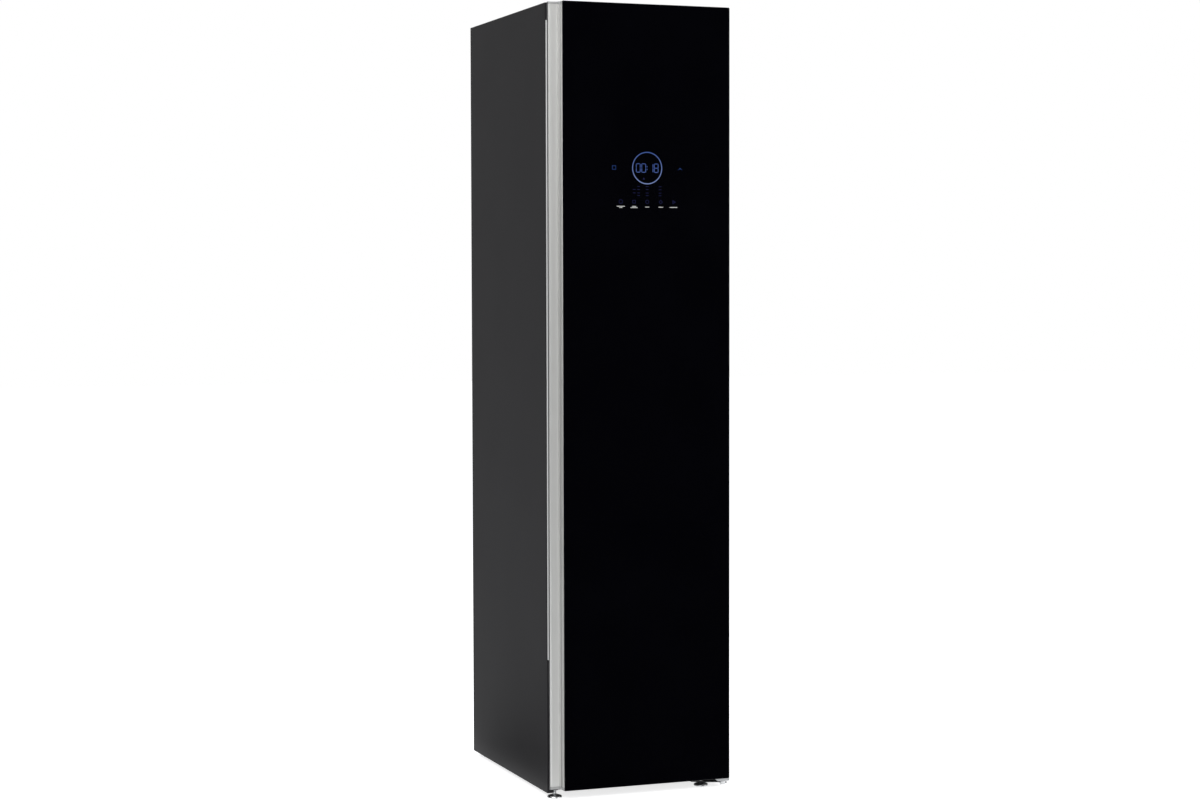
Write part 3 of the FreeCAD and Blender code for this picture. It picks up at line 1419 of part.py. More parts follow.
def upper_hinge_bracket():
    """Bracket screwed in the top panel's recess; its rounded tongue reaches over the door."""
    body = new_body("upper_hinge_bracket")
    tongue = mm.hinge_tongue_radius
    add(body, "Z", [[(HINGE_X - tongue, HINGE_Y), (HINGE_X + tongue, HINGE_Y),
                     (HINGE_X + tongue - 1.5, FRONT + 8), (HINGE_X + tongue - 1.5, RECESS_BACK - 6),
                     (RECESS_LEFT + 8, RECESS_BACK - 6), (RECESS_LEFT + 8, FRONT + 14)]],
        UPPER_LOW, UPPER_LOW + mm.hinge_plate)
    add(body, "Z", [(HINGE_X, HINGE_Y, tongue)], UPPER_LOW, UPPER_LOW + mm.hinge_plate)
    cut(body, "Z", [(HINGE_X, HINGE_Y, mm.hinge_pin_radius)],
        UPPER_LOW, UPPER_LOW + mm.hinge_plate)
    return body


upper_hinge_bracket()


def lower_hinge_bracket():
    """Bracket under the base: a plate that tapers to the pin, stiffened by a turned-down lip."""
    body = new_body("lower_hinge_bracket")
    tongue = mm.hinge_tongue_radius
    left = HINGE_FOOT - 23
    add(body, "Z", [[(left, ahead(10)), (HINGE_X - tongue, ahead(31)), (HINGE_X, HINGE_Y),
                     (HINGE_X + tongue, HINGE_Y), (SKIN - 2, ahead(0)), (SKIN - 2, FRONT + 60),
                     (left, FRONT + 60)]], LOWER_LOW, LOWER_TOP)
    add(body, "Z", [(HINGE_X, HINGE_Y, tongue)], LOWER_LOW, LOWER_TOP)
    add(body, "Z", [[(left, ahead(10)), (HINGE_X - tongue, ahead(31)),
                     (HINGE_X - tongue, ahead(27.8)), (left, ahead(6.8))]],
        LOWER_LOW - 4, LOWER_LOW)
    cut(body, "Z", [(HINGE_X, HINGE_Y, mm.hinge_pin_radius),
                    (HINGE_FOOT, FRONT + mm.foot_front, mm.stem_radius + 1)],
        LOWER_LOW, LOWER_TOP)
    return body


lower_hinge_bracket()


def hinge_pins():
    """Upper and lower hinge pins; the lower one carries the door on its collar."""
    body = new_body("hinge_pins")
    radius = mm.hinge_pin_radius
    collar = mm.hinge_collar_radius
    add(body, "Z", [(HINGE_X, HINGE_Y, radius)], UPPER_LOW - 18, UPPER_LOW + mm.hinge_plate)
    turn(body, "Z", (HINGE_X, HINGE_Y, 0),
         [(0, LOWER_LOW - 3.5), (collar, LOWER_LOW - 3.5), (collar, LOWER_LOW),
          (radius, LOWER_LOW), (radius, LOWER_TOP), (collar, LOWER_TOP), (collar, SHOE_LOW - 0.1),
          (radius, SHOE_LOW - 0.1), (radius, SHOE_LOW + 25), (0, SHOE_LOW + 25)])
    return body


hinge_pins()


def hinge_cover():
    """Thin cover over the upper bracket, flush with the top panel."""
    body = new_body("hinge_cover")
    box(body, (RECESS_LEFT + mm.seam, SKIN - mm.seam), (FRONT, RECESS_BACK - mm.seam),
        (TOP - 1, TOP))
    box(body, (RECESS_LEFT + mm.seam, RECESS_LEFT + 3), (FRONT + 4, RECESS_BACK - mm.seam),
        (TOP - mm.hinge_recess, TOP - 1))
    box(body, (RECESS_LEFT + 3, SKIN - mm.seam), (RECESS_BACK - 3, RECESS_BACK - mm.seam),
        (TOP - mm.hinge_recess, TOP - 1))
    return body


hinge_cover()

# ------------------------------------------------------------------------------------------------
# Door
# ------------------------------------------------------------------------------------------------
GLASS_LEFT = mm.glass_left - HALF
GLASS_BACK = ahead(mm.door_projection - mm.glass)
DOOR_BACK = ahead(mm.door_gap)
STRIP_BACK = ahead(mm.strip_back)
DOOR_LOW = mm.door_bottom + 0.5
DOOR_TOP = mm.height - 1
CAVITY_TOP = DOOR_TOP - 8
CAVITY_LOW = DOOR_LOW + mm.door_wall
STEP = GLASS_LEFT - 0.2
PLATE_FRONT = DOOR_BACK - mm.liner_plate
BLOCK_LEFT = HINGE_X - 14
WALL_INSIDE = HALF - mm.door_wall


def door_frame():
    """Moulded door frame, stepped back behind the handle strip, with solid hinge blocks."""
    body = new_body("door_frame")
    add(body, "Z", [[(-HALF, DOOR_BACK), (HALF, DOOR_BACK), (HALF, GLASS_BACK),
                     (STEP, GLASS_BACK), (STEP, STRIP_BACK), (-HALF, STRIP_BACK)]],
        DOOR_LOW, DOOR_TOP)
    cut(body, "Z", [[(-WALL_INSIDE, DOOR_BACK), (WALL_INSIDE, DOOR_BACK),
                     (WALL_INSIDE, GLASS_BACK + mm.door_wall),
                     (STEP + mm.door_wall, GLASS_BACK + mm.door_wall),
                     (STEP + mm.door_wall, STRIP_BACK + mm.door_wall),
                     (-WALL_INSIDE, STRIP_BACK + mm.door_wall)]], CAVITY_LOW, CAVITY_TOP)
    cut(body, "Y", [rectangle(STEP + 14, DOOR_LOW + 20, HALF - 14, DOOR_TOP - 20)],
        GLASS_BACK, GLASS_BACK + mm.door_wall)
    block_back = PLATE_FRONT - mm.seam
    for low, high in ((CAVITY_LOW, CAVITY_LOW + 24), (CAVITY_TOP - 24, CAVITY_TOP)):
        box(body, (BLOCK_LEFT, WALL_INSIDE), (GLASS_BACK + mm.door_wall, block_back), (low, high))
    hollow(body, (HINGE_X - 26, HALF), (ahead(37), DOOR_BACK),
           (TOP - mm.hinge_recess - 1.2, DOOR_TOP))
    cut(body, "Z", [(HINGE_X, HINGE_Y, PIN_BORE)], DOOR_LOW, SHOE_LOW + 27)
    cut(body, "Z", [(HINGE_X, HINGE_Y, PIN_BORE)], UPPER_LOW - 20, TOP - mm.hinge_recess)
    return body


door_frame()


def door_glass():
    """Tempered glass front with ground corners and edges."""
    body = new_body("door_glass")
    box(body, (GLASS_LEFT, HALF), (ahead(mm.door_projection), GLASS_BACK),
        (mm.door_bottom, mm.height))
    rounded(body, 2, lambda middle, direction: abs(direction.y) > 0.999)
    chamfered(body, 0.5, lambda middle, direction: near(middle.y, ahead(mm.door_projection)))
    return body


door_glass()


def strip_section(hollowed):
    """Section of the handle strip: bevelled edge, flat field, raised ledge and the glass lip."""
    right = STEP - 0.1
    front = [(-HALF, STRIP_BACK), (-HALF, ahead(mm.strip_back + 1)), (2.4 - HALF, ahead(23.2)),
             (20.2 - HALF, ahead(25.2)), (21.8 - HALF, ahead(32.0)), (24.4 - HALF, ahead(33.0)),
             (25.0 - HALF, ahead(mm.door_projection - 0.8)),
             (right, ahead(mm.door_projection - 0.8)), (right, STRIP_BACK)]
    if not hollowed:
        return front
    return front + [(24.4 - HALF, STRIP_BACK), (24.4 - HALF, ahead(31.4)),
                    (23.3 - HALF, ahead(30.6)), (21.5 - HALF, ahead(23.2)),
                    (3.4 - HALF, ahead(21.4)), (3.0 - HALF, STRIP_BACK)]


STRIP_TOP = mm.height - mm.strip_drop


def handle_strip():
    """Extruded aluminium handle strip down the door's free edge."""
    body = new_body("handle_strip")
    add(body, "Z", [strip_section(True)], mm.strip_bottom + mm.cap_bottom + mm.cap_joint,
        STRIP_TOP - mm.cap_top - mm.cap_joint)
    return body


handle_strip()


def handle_end_caps():
    """Cap at each end of the handle strip."""
    body = new_body("handle_end_caps")
    add(body, "Z", [strip_section(False)], mm.strip_bottom, mm.strip_bottom + mm.cap_bottom)
    add(body, "Z", [strip_section(False)], STRIP_TOP - mm.cap_top, STRIP_TOP)
    return body


handle_end_caps()


def hinge_shoe():
    """Pale corner piece under the door at the hinge, with the bore the door turns on."""
    body = new_body("hinge_shoe")
    left = HINGE_X - 27
    box(body, (HINGE_X - 18, HALF), (ahead(36.5), ahead(14)), (SHOE_LOW, DOOR_LOW))
    add(body, "Y", [[(left, mm.door_bottom), (left + 7, SHOE_LOW), (HALF, SHOE_LOW),
                     (HALF, mm.door_bottom)]], ahead(mm.door_projection - 0.6), ahead(36.5))
    cut(body, "Z", [(HINGE_X, HINGE_Y, PIN_BORE)], SHOE_LOW, DOOR_LOW)
    return body


hinge_shoe()

BULGE_HALF = mm.press_width / 2 + mm.bulge_border
BULGE_LOW = WINDOW_BOTTOM + mm.bulge_margin
BULGE_TOP = WINDOW_TOP - mm.bulge_margin
BULGE_FACE = FRONT + mm.bulge_depth
PRESS_AXIS_X = -(mm.press_width / 2 + 5)
PRESS_GAP = 1.0
PRESS_TOP = BULGE_TOP - mm.press_drop
PRESS_LOW = PRESS_TOP - mm.press_height
PRESS_AXIS_Y = BULGE_FACE + PRESS_GAP + mm.press_thickness / 2
PRESS_PIN = 2.5
KNUCKLE = 5.0
KNUCKLE_LEVELS = (PRESS_LOW + 40, PRESS_TOP - 56)
PRESS_SLOTS = 16
PRESS_SLOT = 10.0
PRESS_BORDER = 40.0


def door_inner_liner():
    """Inner liner: plate with a raised field that fills the chamber's opening, and press lugs."""
    body = new_body("door_inner_liner")
    edge = WALL_INSIDE - mm.seam
    add(body, "Y", [rectangle(-edge, CAVITY_LOW + mm.seam, edge, CAVITY_TOP - mm.seam)],
        PLATE_FRONT, DOOR_BACK)
    add(body, "Y", [rectangle(-BULGE_HALF, BULGE_LOW, BULGE_HALF, BULGE_TOP)],
        DOOR_BACK, BULGE_FACE)
    chamfered(body, 9, lambda middle, direction:
              near(middle.y, BULGE_FACE) or (abs(direction.y) > 0.999 and middle.y > DOOR_BACK.value))
    wall = mm.liner_wall
    cut(body, "Y", [rectangle(-(BULGE_HALF - wall), BULGE_LOW + wall,
                              BULGE_HALF - wall, BULGE_TOP - wall)],
        PLATE_FRONT, BULGE_FACE - wall * 3)
    for low in KNUCKLE_LEVELS:
        box(body, (PRESS_AXIS_X - KNUCKLE, PRESS_AXIS_X + KNUCKLE), (BULGE_FACE - 1, PRESS_AXIS_Y),
            (low - 10, low))
        add(body, "Z", [(PRESS_AXIS_X, PRESS_AXIS_Y, KNUCKLE)], low - 10, low)
        add(body, "Z", [(PRESS_AXIS_X, PRESS_AXIS_Y, PRESS_PIN)], low, low + 15)
    return body


door_inner_liner()


def trouser_press():
    """Press plate that swings out from the door's inner side to hold trousers flat."""
    body = new_body("trouser_press_plate")
    left = PRESS_AXIS_X + KNUCKLE + 1
    right = left + mm.press_width
    front = BULGE_FACE + PRESS_GAP
    back = front + mm.press_thickness
    box(body, (left, right), (front, back), (PRESS_LOW, PRESS_TOP))
    chamfered(body, 10, lambda middle, direction:
              abs(direction.y) > 0.999 and middle.x > 0)
    chamfered(body, 1.5, lambda middle, direction: near(middle.y, back))
    first = PRESS_LOW + PRESS_BORDER + 10
    pitch = (PRESS_TOP - PRESS_BORDER - PRESS_SLOT - 4 - first) / (PRESS_SLOTS - 1)
    slot = cut(body, "Y", [rectangle(left + PRESS_BORDER, first,
                                     right - PRESS_BORDER, first + PRESS_SLOT)], front, back)
    repeat(body, slot, "Z", PRESS_SLOTS, pitch)
    for low in KNUCKLE_LEVELS:
        high = low + 14
        add(body, "Z", [(PRESS_AXIS_X, PRESS_AXIS_Y, KNUCKLE)], low + 0.2, high)
        box(body, (PRESS_AXIS_X, left + 1), (PRESS_AXIS_Y - 3, PRESS_AXIS_Y + 3),
            (low + 0.2, high))
        cut(body, "Z", [(PRESS_AXIS_X, PRESS_AXIS_Y, PRESS_PIN + mm.running_clearance)],
            low + 0.2, low + 16)
    return body


trouser_press()

GASKET = HALF - mm.gasket_edge
GASKET_LOW = mm.chamber_bottom - mm.gasket_below
GASKET_TOP = CHAMBER_TOP + mm.gasket_above


def door_gasket():
    """Soft gasket round the inner liner: a base, a bellows waist and the sealing lip."""
    body = new_body("door_gasket")
    lip = FRONT - mm.gasket_gap
    for inset, low, high in ((0, DOOR_BACK, DOOR_BACK + 4), (0.8, DOOR_BACK + 4, DOOR_BACK + 6),
                             (0, DOOR_BACK + 6, lip)):
        outer = GASKET - inset
        inner = GASKET - mm.gasket_width
        add(body, "Y", [rectangle(-outer, GASKET_LOW + inset, outer, GASKET_TOP - inset),
                        rectangle(-inner, GASKET_LOW + mm.gasket_width,
                                  inner, GASKET_TOP - mm.gasket_width)], low, high)
    return body


door_gasket()

DISPLAY_X = (-78.0, 104.0)
DISPLAY_Z = (mm.height - 488, mm.height - 338)
RING = (13.0, mm.height - 382, 40.0)
KEY_ROW_X = (-60.0, 88.0)
KEY_ROW_Z = (DISPLAY_Z[0] + 22, DISPLAY_Z[0] + 48)
BOARD_FRONT = GLASS_BACK + 3
BOARD_BACK = BOARD_FRONT + 2
CHIP = 14.0


def display_board():
    """Display and touch-key board behind the glass, with its light box and controller chips."""
    body = new_body("display_board")
    box(body, DISPLAY_X, (BOARD_FRONT, BOARD_BACK), DISPLAY_Z)
    add(body, "Y", [RING], GLASS_BACK, BOARD_FRONT)
    box(body, KEY_ROW_X, (GLASS_BACK, BOARD_FRONT), KEY_ROW_Z)
    for x, rise in ((-50, 78), (60, 78), (60, 128)):
        low = DISPLAY_Z[0] + rise
        box(body, (x, x + CHIP), (BOARD_BACK, BOARD_BACK + 2), (low, low + CHIP))
    return body


display_board()


def door_foam():
    """Foam core of the door, cut out round the display board and the hinge blocks."""
    body = new_body("door_foam")
    back = PLATE_FRONT - mm.seam
    front = GLASS_BACK + mm.door_wall + mm.seam
    left = STEP + mm.door_wall + mm.seam
    low, high = CAVITY_LOW + mm.seam, CAVITY_TOP - mm.seam
    inner = BLOCK_LEFT - mm.seam
    outer = WALL_INSIDE - mm.seam
    add(body, "Y", [[(left, low), (inner, low), (inner, low + 25), (outer, low + 25),
                     (outer, high - 25), (inner, high - 25), (inner, high), (left, high)]],
        front, back)
    hollow(body, (DISPLAY_X[0] - 2, DISPLAY_X[1] + 2), (front, front + 6),
           (DISPLAY_Z[0] - 2, DISPLAY_Z[1] + 2))
    return body


door_foam()

# ------------------------------------------------------------------------------------------------
# Checks and hand-over
# ------------------------------------------------------------------------------------------------


def check_document():
    """Stop if any object failed, a pocket removed nothing, or a node has no valid solid."""
    failures = []
    for item in DOC.Objects:
        if "Invalid" in item.State or "Error" in item.State:
            failures.append("%s failed: %s" % (item.Name, item.State))
        elif item.TypeId in ("PartDesign::Pocket", "PartDesign::Groove"):
            if not item.Shape.Volume < item.BaseFeature.Shape.Volume - 1e-6:
                failures.append("%s cut nothing" % item.Name)
    for node in NODES:
        if node.Shape.isNull() or not node.Shape.isValid() or not node.Shape.Solids:
            failures.append("%s has no valid solid" % node.Label)
    if failures:
        raise RuntimeError("; ".join(failures))


DOC.recompute()
check_document()
os.makedirs("parts", exist_ok=True)
for node in NODES:
    node.Shape.exportStep("parts/%s.step" % node.Label)
print("%d sub-parts written" % len(NODES))
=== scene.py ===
"""Clothes care steam cabinet: its looks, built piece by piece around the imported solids.

Metres, in the row frame: +X to the door's hinge side, -Y to the front, +Z up from the floor.
"""

import math

import bmesh
import bpy
from mathutils import Matrix, Vector
from mathutils.geometry import delaunay_2d_cdt


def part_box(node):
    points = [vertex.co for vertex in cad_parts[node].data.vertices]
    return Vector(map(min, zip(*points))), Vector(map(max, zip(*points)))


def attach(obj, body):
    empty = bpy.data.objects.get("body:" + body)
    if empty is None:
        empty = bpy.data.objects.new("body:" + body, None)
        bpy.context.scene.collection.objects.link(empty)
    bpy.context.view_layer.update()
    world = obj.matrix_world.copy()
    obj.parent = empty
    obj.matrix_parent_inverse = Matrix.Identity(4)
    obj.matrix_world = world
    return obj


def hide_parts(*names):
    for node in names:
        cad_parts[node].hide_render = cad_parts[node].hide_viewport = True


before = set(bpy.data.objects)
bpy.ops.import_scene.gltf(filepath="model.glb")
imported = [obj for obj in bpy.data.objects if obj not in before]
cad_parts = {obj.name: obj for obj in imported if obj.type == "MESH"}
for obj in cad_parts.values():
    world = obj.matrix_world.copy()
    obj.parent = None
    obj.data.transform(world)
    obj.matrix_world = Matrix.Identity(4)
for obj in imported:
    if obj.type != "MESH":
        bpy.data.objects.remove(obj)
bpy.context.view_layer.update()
MM = 0.001

# ----------------------------------------------------------------------------------------------
# Camera: a long lens at chest height, left of the cabinet, so the left side shows as a narrow
# band beside the glass door.
# ----------------------------------------------------------------------------------------------
FOCAL_LENGTH = 71.18
CAMERA_PLACE = (-2.057, -5.447, 1.179)
CAMERA_TURN, CAMERA_DIP, CAMERA_ROLL = -20.78, 2.57, -0.13

lens = bpy.data.cameras.new("studio_camera")
lens.sensor_fit = "HORIZONTAL"
lens.sensor_width = 36.0
lens.lens = FOCAL_LENGTH
lens.clip_end = 60.0
camera = bpy.data.objects.new("studio_camera", lens)
bpy.context.scene.collection.objects.link(camera)
camera.matrix_world = (
    Matrix.Translation(CAMERA_PLACE)
    @ Matrix.Rotation(math.radians(CAMERA_TURN), 4, "Z")
    @ Matrix.Rotation(math.radians(90 - CAMERA_DIP), 4, "X")
    @ Matrix.Rotation(math.radians(CAMERA_ROLL), 4, "Z")
)
bpy.context.scene.camera = camera
bpy.context.scene.view_settings.view_transform = "Standard"


# ----------------------------------------------------------------------------------------------
# Studio: a white sweep for the floor, an even white sky and three soft lamps.  Black flags that
# only reflections see keep the glass dark and give chrome something to mirror.
# ----------------------------------------------------------------------------------------------
SKY_STRENGTH = 0.52
SWEEP_HALF = 25.0
# The sweep's own glow, and what the camera sees of it on top, which brings it up to white.
SWEEP_GLOW, SWEEP_LIFT = 0.62, 0.14
FLAGS = {
    "left_flag": [(-3.2, -2.0, 0), (-3.2, 9.0, 0), (-3.2, 9.0, 5), (-3.2, -2.0, 5)],
    "front_flag": [(-1.0, -6.5, 0), (5.0, -6.5, 0), (5.0, -6.5, 5), (-1.0, -6.5, 5)],
    "floor_flag": [(-0.16, -0.40, 0.001), (0.9, -0.40, 0.001), (5.0, -6.5, 0.001),
                   (0.6, -6.5, 0.001)],
    "left_floor_flag": [(-0.28, -0.25, 0.001), (-0.28, 0.36, 0.001), (-3.2, 9.0, 0.001),
                        (-3.2, 4.0, 0.001)],
}
LAMPS = [
    # name, place, aim, side of the soft box, watts
    ("key_soft_box", (-2.6, -3.4, 2.9), (0, 0, 1.0), 2.0, 95),
    ("fill_soft_box", (3.0, -3.0, 1.8), (0, 0, 0.9), 1.8, 55),
    ("top_soft_box", (0.2, 0.6, 3.9), (0, 0, 1.2), 1.8, 45),
]


def linear(code):
    """An sRGB hex colour as a linear RGBA tuple."""
    channels = [int(code[i:i + 2], 16) / 255 for i in (1, 3, 5)]
    return tuple(c / 12.92 if c <= 0.04045 else ((c + 0.055) / 1.055) ** 2.4
                 for c in channels) + (1.0,)


def put(tree, kind, sockets=None, **settings):
    """Add a node, set its properties, then give each socket a value or link it to an output."""
    node = tree.nodes.new(kind)
    for name, value in settings.items():
        setattr(node, name, value)
    for socket, value in (sockets or {}).items():
        if isinstance(value, bpy.types.NodeSocket):
            tree.links.new(value, node.inputs[socket])
        else:
            node.inputs[socket].default_value = value
    return node


def seen_directly(tree):
    """1 for rays from the camera, off gloss or through glass: those show the white backdrop."""
    path = put(tree, "ShaderNodeLightPath")
    either = put(tree, "ShaderNodeMath", {0: path.outputs["Is Camera Ray"],
                                          1: path.outputs["Is Glossy Ray"]}, operation="MAXIMUM")
    return put(tree, "ShaderNodeMath", {0: either.outputs[0],
                                        1: path.outputs["Is Transmission Ray"]},
               operation="MAXIMUM").outputs[0]


sky = bpy.data.worlds.new("white_studio")
sky.use_nodes = True
sky.node_tree.nodes.clear()
even_light = put(sky.node_tree, "ShaderNodeBackground",
                 {"Color": linear("#F3F6FB"), "Strength": SKY_STRENGTH})
backdrop = put(sky.node_tree, "ShaderNodeBackground", {"Color": (1, 1, 1, 1), "Strength": 1.0})
sky_mix = put(sky.node_tree, "ShaderNodeMixShader",
              {0: seen_directly(sky.node_tree), 1: even_light.outputs[0], 2: backdrop.outputs[0]})
put(sky.node_tree, "ShaderNodeOutputWorld", {"Surface": sky_mix.outputs[0]})
bpy.context.scene.world = sky


def add_piece(name, mesh, *materials):
    """Put a finished mesh in the scene as an object at the origin."""
    piece = bpy.data.objects.new(name, mesh)
    for material in materials:
        mesh.materials.append(material)
    bpy.context.scene.collection.objects.link(piece)
    return piece


def sheet_mesh(name, corners):
    """A flat four-cornered face."""
    mesh = bpy.data.meshes.new(name)
    mesh.from_pydata(corners, [], [(0, 1, 2, 3)])
    return mesh


sweep_paint = bpy.data.materials.new("matt_white_sweep")
sweep_paint.use_nodes = True
sweep_tree = sweep_paint.node_tree
sweep_tree.nodes.clear()
sweep_cloud = put(sweep_tree, "ShaderNodeTexNoise", {"Scale": 1 / (625 * MM), "Detail": 2.0})
sweep_grey = put(sweep_tree, "ShaderNodeMapRange",
                 {"Value": sweep_cloud.outputs["Fac"], "To Min": 0.80, "To Max": 0.83})
sweep_matt = put(sweep_tree, "ShaderNodeBsdfDiffuse", {"Color": sweep_grey.outputs["Result"]})
sweep_path = put(sweep_tree, "ShaderNodeLightPath")
sweep_strength = put(sweep_tree, "ShaderNodeMath", {0: sweep_path.outputs["Is Camera Ray"],
                                                    1: SWEEP_LIFT, 2: SWEEP_GLOW},
                     operation="MULTIPLY_ADD")
sweep_glow = put(sweep_tree, "ShaderNodeEmission", {"Color": (1, 1, 1, 1),
                                                    "Strength": sweep_strength.outputs[0]})
sweep_dark = put(sweep_tree, "ShaderNodeEmission", {"Color": (0, 0, 0, 1), "Strength": 0.0})
sweep_lift = put(sweep_tree, "ShaderNodeMixShader", {0: seen_directly(sweep_tree),
                                                     1: sweep_dark.outputs[0],
                                                     2: sweep_glow.outputs[0]})
sweep_sum = put(sweep_tree, "ShaderNodeAddShader", {0: sweep_matt.outputs[0],
                                                    1: sweep_lift.outputs[0]})
put(sweep_tree, "ShaderNodeOutputMaterial", {"Surface": sweep_sum.outputs[0]})
sweep = add_piece("studio_floor", sheet_mesh("studio_floor", [
    (-SWEEP_HALF, -SWEEP_HALF, 0), (SWEEP_HALF, -SWEEP_HALF, 0),
    (SWEEP_HALF, SWEEP_HALF, 0), (-SWEEP_HALF, SWEEP_HALF, 0)]), sweep_paint)

velvet = bpy.data.materials.new("black_velvet_flag")
velvet.use_nodes = True
velvet_tree = velvet.node_tree
velvet_tree.nodes.clear()
velvet_folds = put(velvet_tree, "ShaderNodeTexNoise", {"Scale": 1 / (333 * MM), "Detail": 1.0})
velvet_grey = put(velvet_tree, "ShaderNodeMapRange",
                  {"Value": velvet_folds.outputs["Fac"], "To Min": 0.0, "To Max": 0.004})
velvet_matt = put(velvet_tree, "ShaderNodeBsdfDiffuse", {"Color": velvet_grey.outputs["Result"]})
put(velvet_tree, "ShaderNodeOutputMaterial", {"Surface": velvet_matt.outputs[0]})
flags = [add_piece(name, sheet_mesh(name, corners), velvet) for name, corners in FLAGS.items()]
for flag in flags:
    flag.visible_camera = False
    flag.visible_diffuse = False
    flag.visible_transmission = False
    flag.visible_shadow = False

for name, place, aim, side, watts in LAMPS:
    lamp = bpy.data.lights.new(name, "AREA")
    lamp.shape = "SQUARE"
    lamp.size = side
    lamp.energy = watts
    soft_box = bpy.data.objects.new(name, lamp)
    bpy.context.scene.collection.objects.link(soft_box)
    turned = (Vector(aim) - Vector(place)).to_track_quat("-Z", "Y").to_matrix().to_4x4()
    soft_box.matrix_world = Matrix.Translation(place) @ turned


# ----------------------------------------------------------------------------------------------
# Base pan and front frame: black glass-filled polypropylene, injection moulded, with the fine
# spark-eroded grain of the mould on every face.  The pan carries the whole machine bay.
# ----------------------------------------------------------------------------------------------
def new_finish(name):
    """Start a material: its empty tree, and the piece's own coordinates in metres."""
    material = bpy.data.materials.new(name)
    material.use_nodes = True
    tree = material.node_tree
    tree.nodes.clear()
    return material, tree, put(tree, "ShaderNodeTexCoord").outputs["Object"]


def close_finish(tree, sockets):
    """Finish a material with one Principled shader."""
    shader = put(tree, "ShaderNodeBsdfPrincipled", sockets)
    put(tree, "ShaderNodeOutputMaterial", {"Surface": shader.outputs["BSDF"]})


def dress(material, *names):
    """Give CAD nodes a material."""
    for name in names:
        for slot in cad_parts[name].material_slots:
            slot.material = material


def moulded(name, dark, light, roughness, grain, depth=0.012 * MM, constants=None):
    """Moulded plastic: a slow cloud in the colour, and the grain of the mould in the gloss."""
    material, tree, place = new_finish(name)
    cloud = put(tree, "ShaderNodeTexNoise", {"Vector": place, "Scale": 1 / (60 * MM),
                                             "Detail": 4.0})
    grit = put(tree, "ShaderNodeTexNoise", {"Vector": place, "Scale": 1 / grain, "Detail": 1.0})
    colour = put(tree, "ShaderNodeMix", {0: cloud.outputs["Fac"], 6: linear(dark),
                                         7: linear(light)}, data_type="RGBA")
    shine = put(tree, "ShaderNodeMapRange", {"Value": grit.outputs["Fac"],
                                             "To Min": roughness - 0.05,
                                             "To Max": roughness + 0.05})
    relief = put(tree, "ShaderNodeBump", {"Height": grit.outputs["Fac"], "Distance": depth})
    close_finish(tree, {"Base Color": colour.outputs[2], "Roughness": shine.outputs["Result"],
                        "Normal": relief.outputs["Normal"], "IOR": 1.49, **(constants or {})})
    return material


black_frame = moulded("black_grained_polypropylene", "#141416", "#19191B", 0.5, 0.5 * MM)
dress(black_frame, "base_pan", "front_frame")


# ----------------------------------------------------------------------------------------------
# Levelling feet: a domed steel disc pressed on a threaded M9 stem, chromium plated.  The plate is
# bright but barrel-polished, so it blurs what it mirrors.
# ----------------------------------------------------------------------------------------------
FOOT_PROFILE = [(0, 0), (16.4, 0), (17.3, 0.4), (17.75, 1.2), (17.7, 2.2), (17.45, 3.2),
                (16.95, 4.2), (16.2, 5.0), (15.2, 5.6), (13.9, 6.1), (12.2, 6.5), (9.6, 7.0),
                (7.4, 7.7), (6.4, 8.4), (3.9, 8.6), (3.9, 34.0), (0, 34.0)]
FOOT_BODIES = {"front_left_foot": "front_left_leveller",
               "front_right_foot": "front_right_leveller",
               "rear_left_foot": "rear_left_leveller",
               "rear_right_foot": "rear_right_leveller"}
STEM_RADIUS = 4.5
THREAD_PITCH = 1.5
THREAD_LOW, THREAD_HIGH = 9.0, 33.5
RIDGE_SHARE = 0.4
CREASE = 35


def skin(shape, rings, closed=False, cap_end=True):
    """Add the skin over a row of rings of points; a closed row joins its ends and has no caps."""
    rows = [[shape.verts.new(Vector(point) * MM) for point in ring] for ring in rings]
    pairs = list(zip(rows, rows[1:])) + ([(rows[-1], rows[0])] if closed else [])
    for low, high in pairs:
        for i in range(len(low)):
            j = (i + 1) % len(low)
            shape.faces.new((low[i], low[j], high[j], high[i]))
    if not closed:
        shape.faces.new(rows[0][::-1])
        if cap_end:
            shape.faces.new(rows[-1])


def lathe(shape, profile, x, y, steps=64):
    """Add a turned form about an upright axis; the profile runs as (radius, height)."""
    turns = [math.tau * i / steps for i in range(steps)]
    skin(shape, [[(x + max(radius, 0.05) * math.cos(a), y + max(radius, 0.05) * math.sin(a), z)
                  for a in turns] for radius, z in profile])


def finish_mesh(shape, name, sharp=32):
    """Turn a finished bmesh into a mesh: outward normals, smooth but for its sharp edges."""
    bmesh.ops.recalc_face_normals(shape, faces=shape.faces)
    mesh = bpy.data.meshes.new(name)
    shape.to_mesh(mesh)
    shape.free()
    mesh.shade_smooth()
    mesh.set_sharp_from_angle(angle=math.radians(sharp))
    return mesh


def new_growth(name, inputs):
    """Start a Geometry Nodes tree with its named inputs: (name, socket type, value)."""
    tree = bpy.data.node_groups.new(name, "GeometryNodeTree")
    tree.interface.new_socket("Geometry", in_out="INPUT", socket_type="NodeSocketGeometry")
    for label, kind, value in inputs:
        socket = tree.interface.new_socket(label, in_out="INPUT", socket_type=kind)
        socket.default_value = value
    tree.interface.new_socket("Geometry", in_out="OUTPUT", socket_type="NodeSocketGeometry")
    return tree, put(tree, "NodeGroupInput").outputs


def end_growth(tree, grown, material):
    """End a tree in real geometry of one material."""
    real = put(tree, "GeometryNodeRealizeInstances", {"Geometry": grown})
    painted = put(tree, "GeometryNodeSetMaterial", {"Geometry": real.outputs[0],
                                                    "Material": material})
    put(tree, "NodeGroupOutput", {"Geometry": painted.outputs[0]})


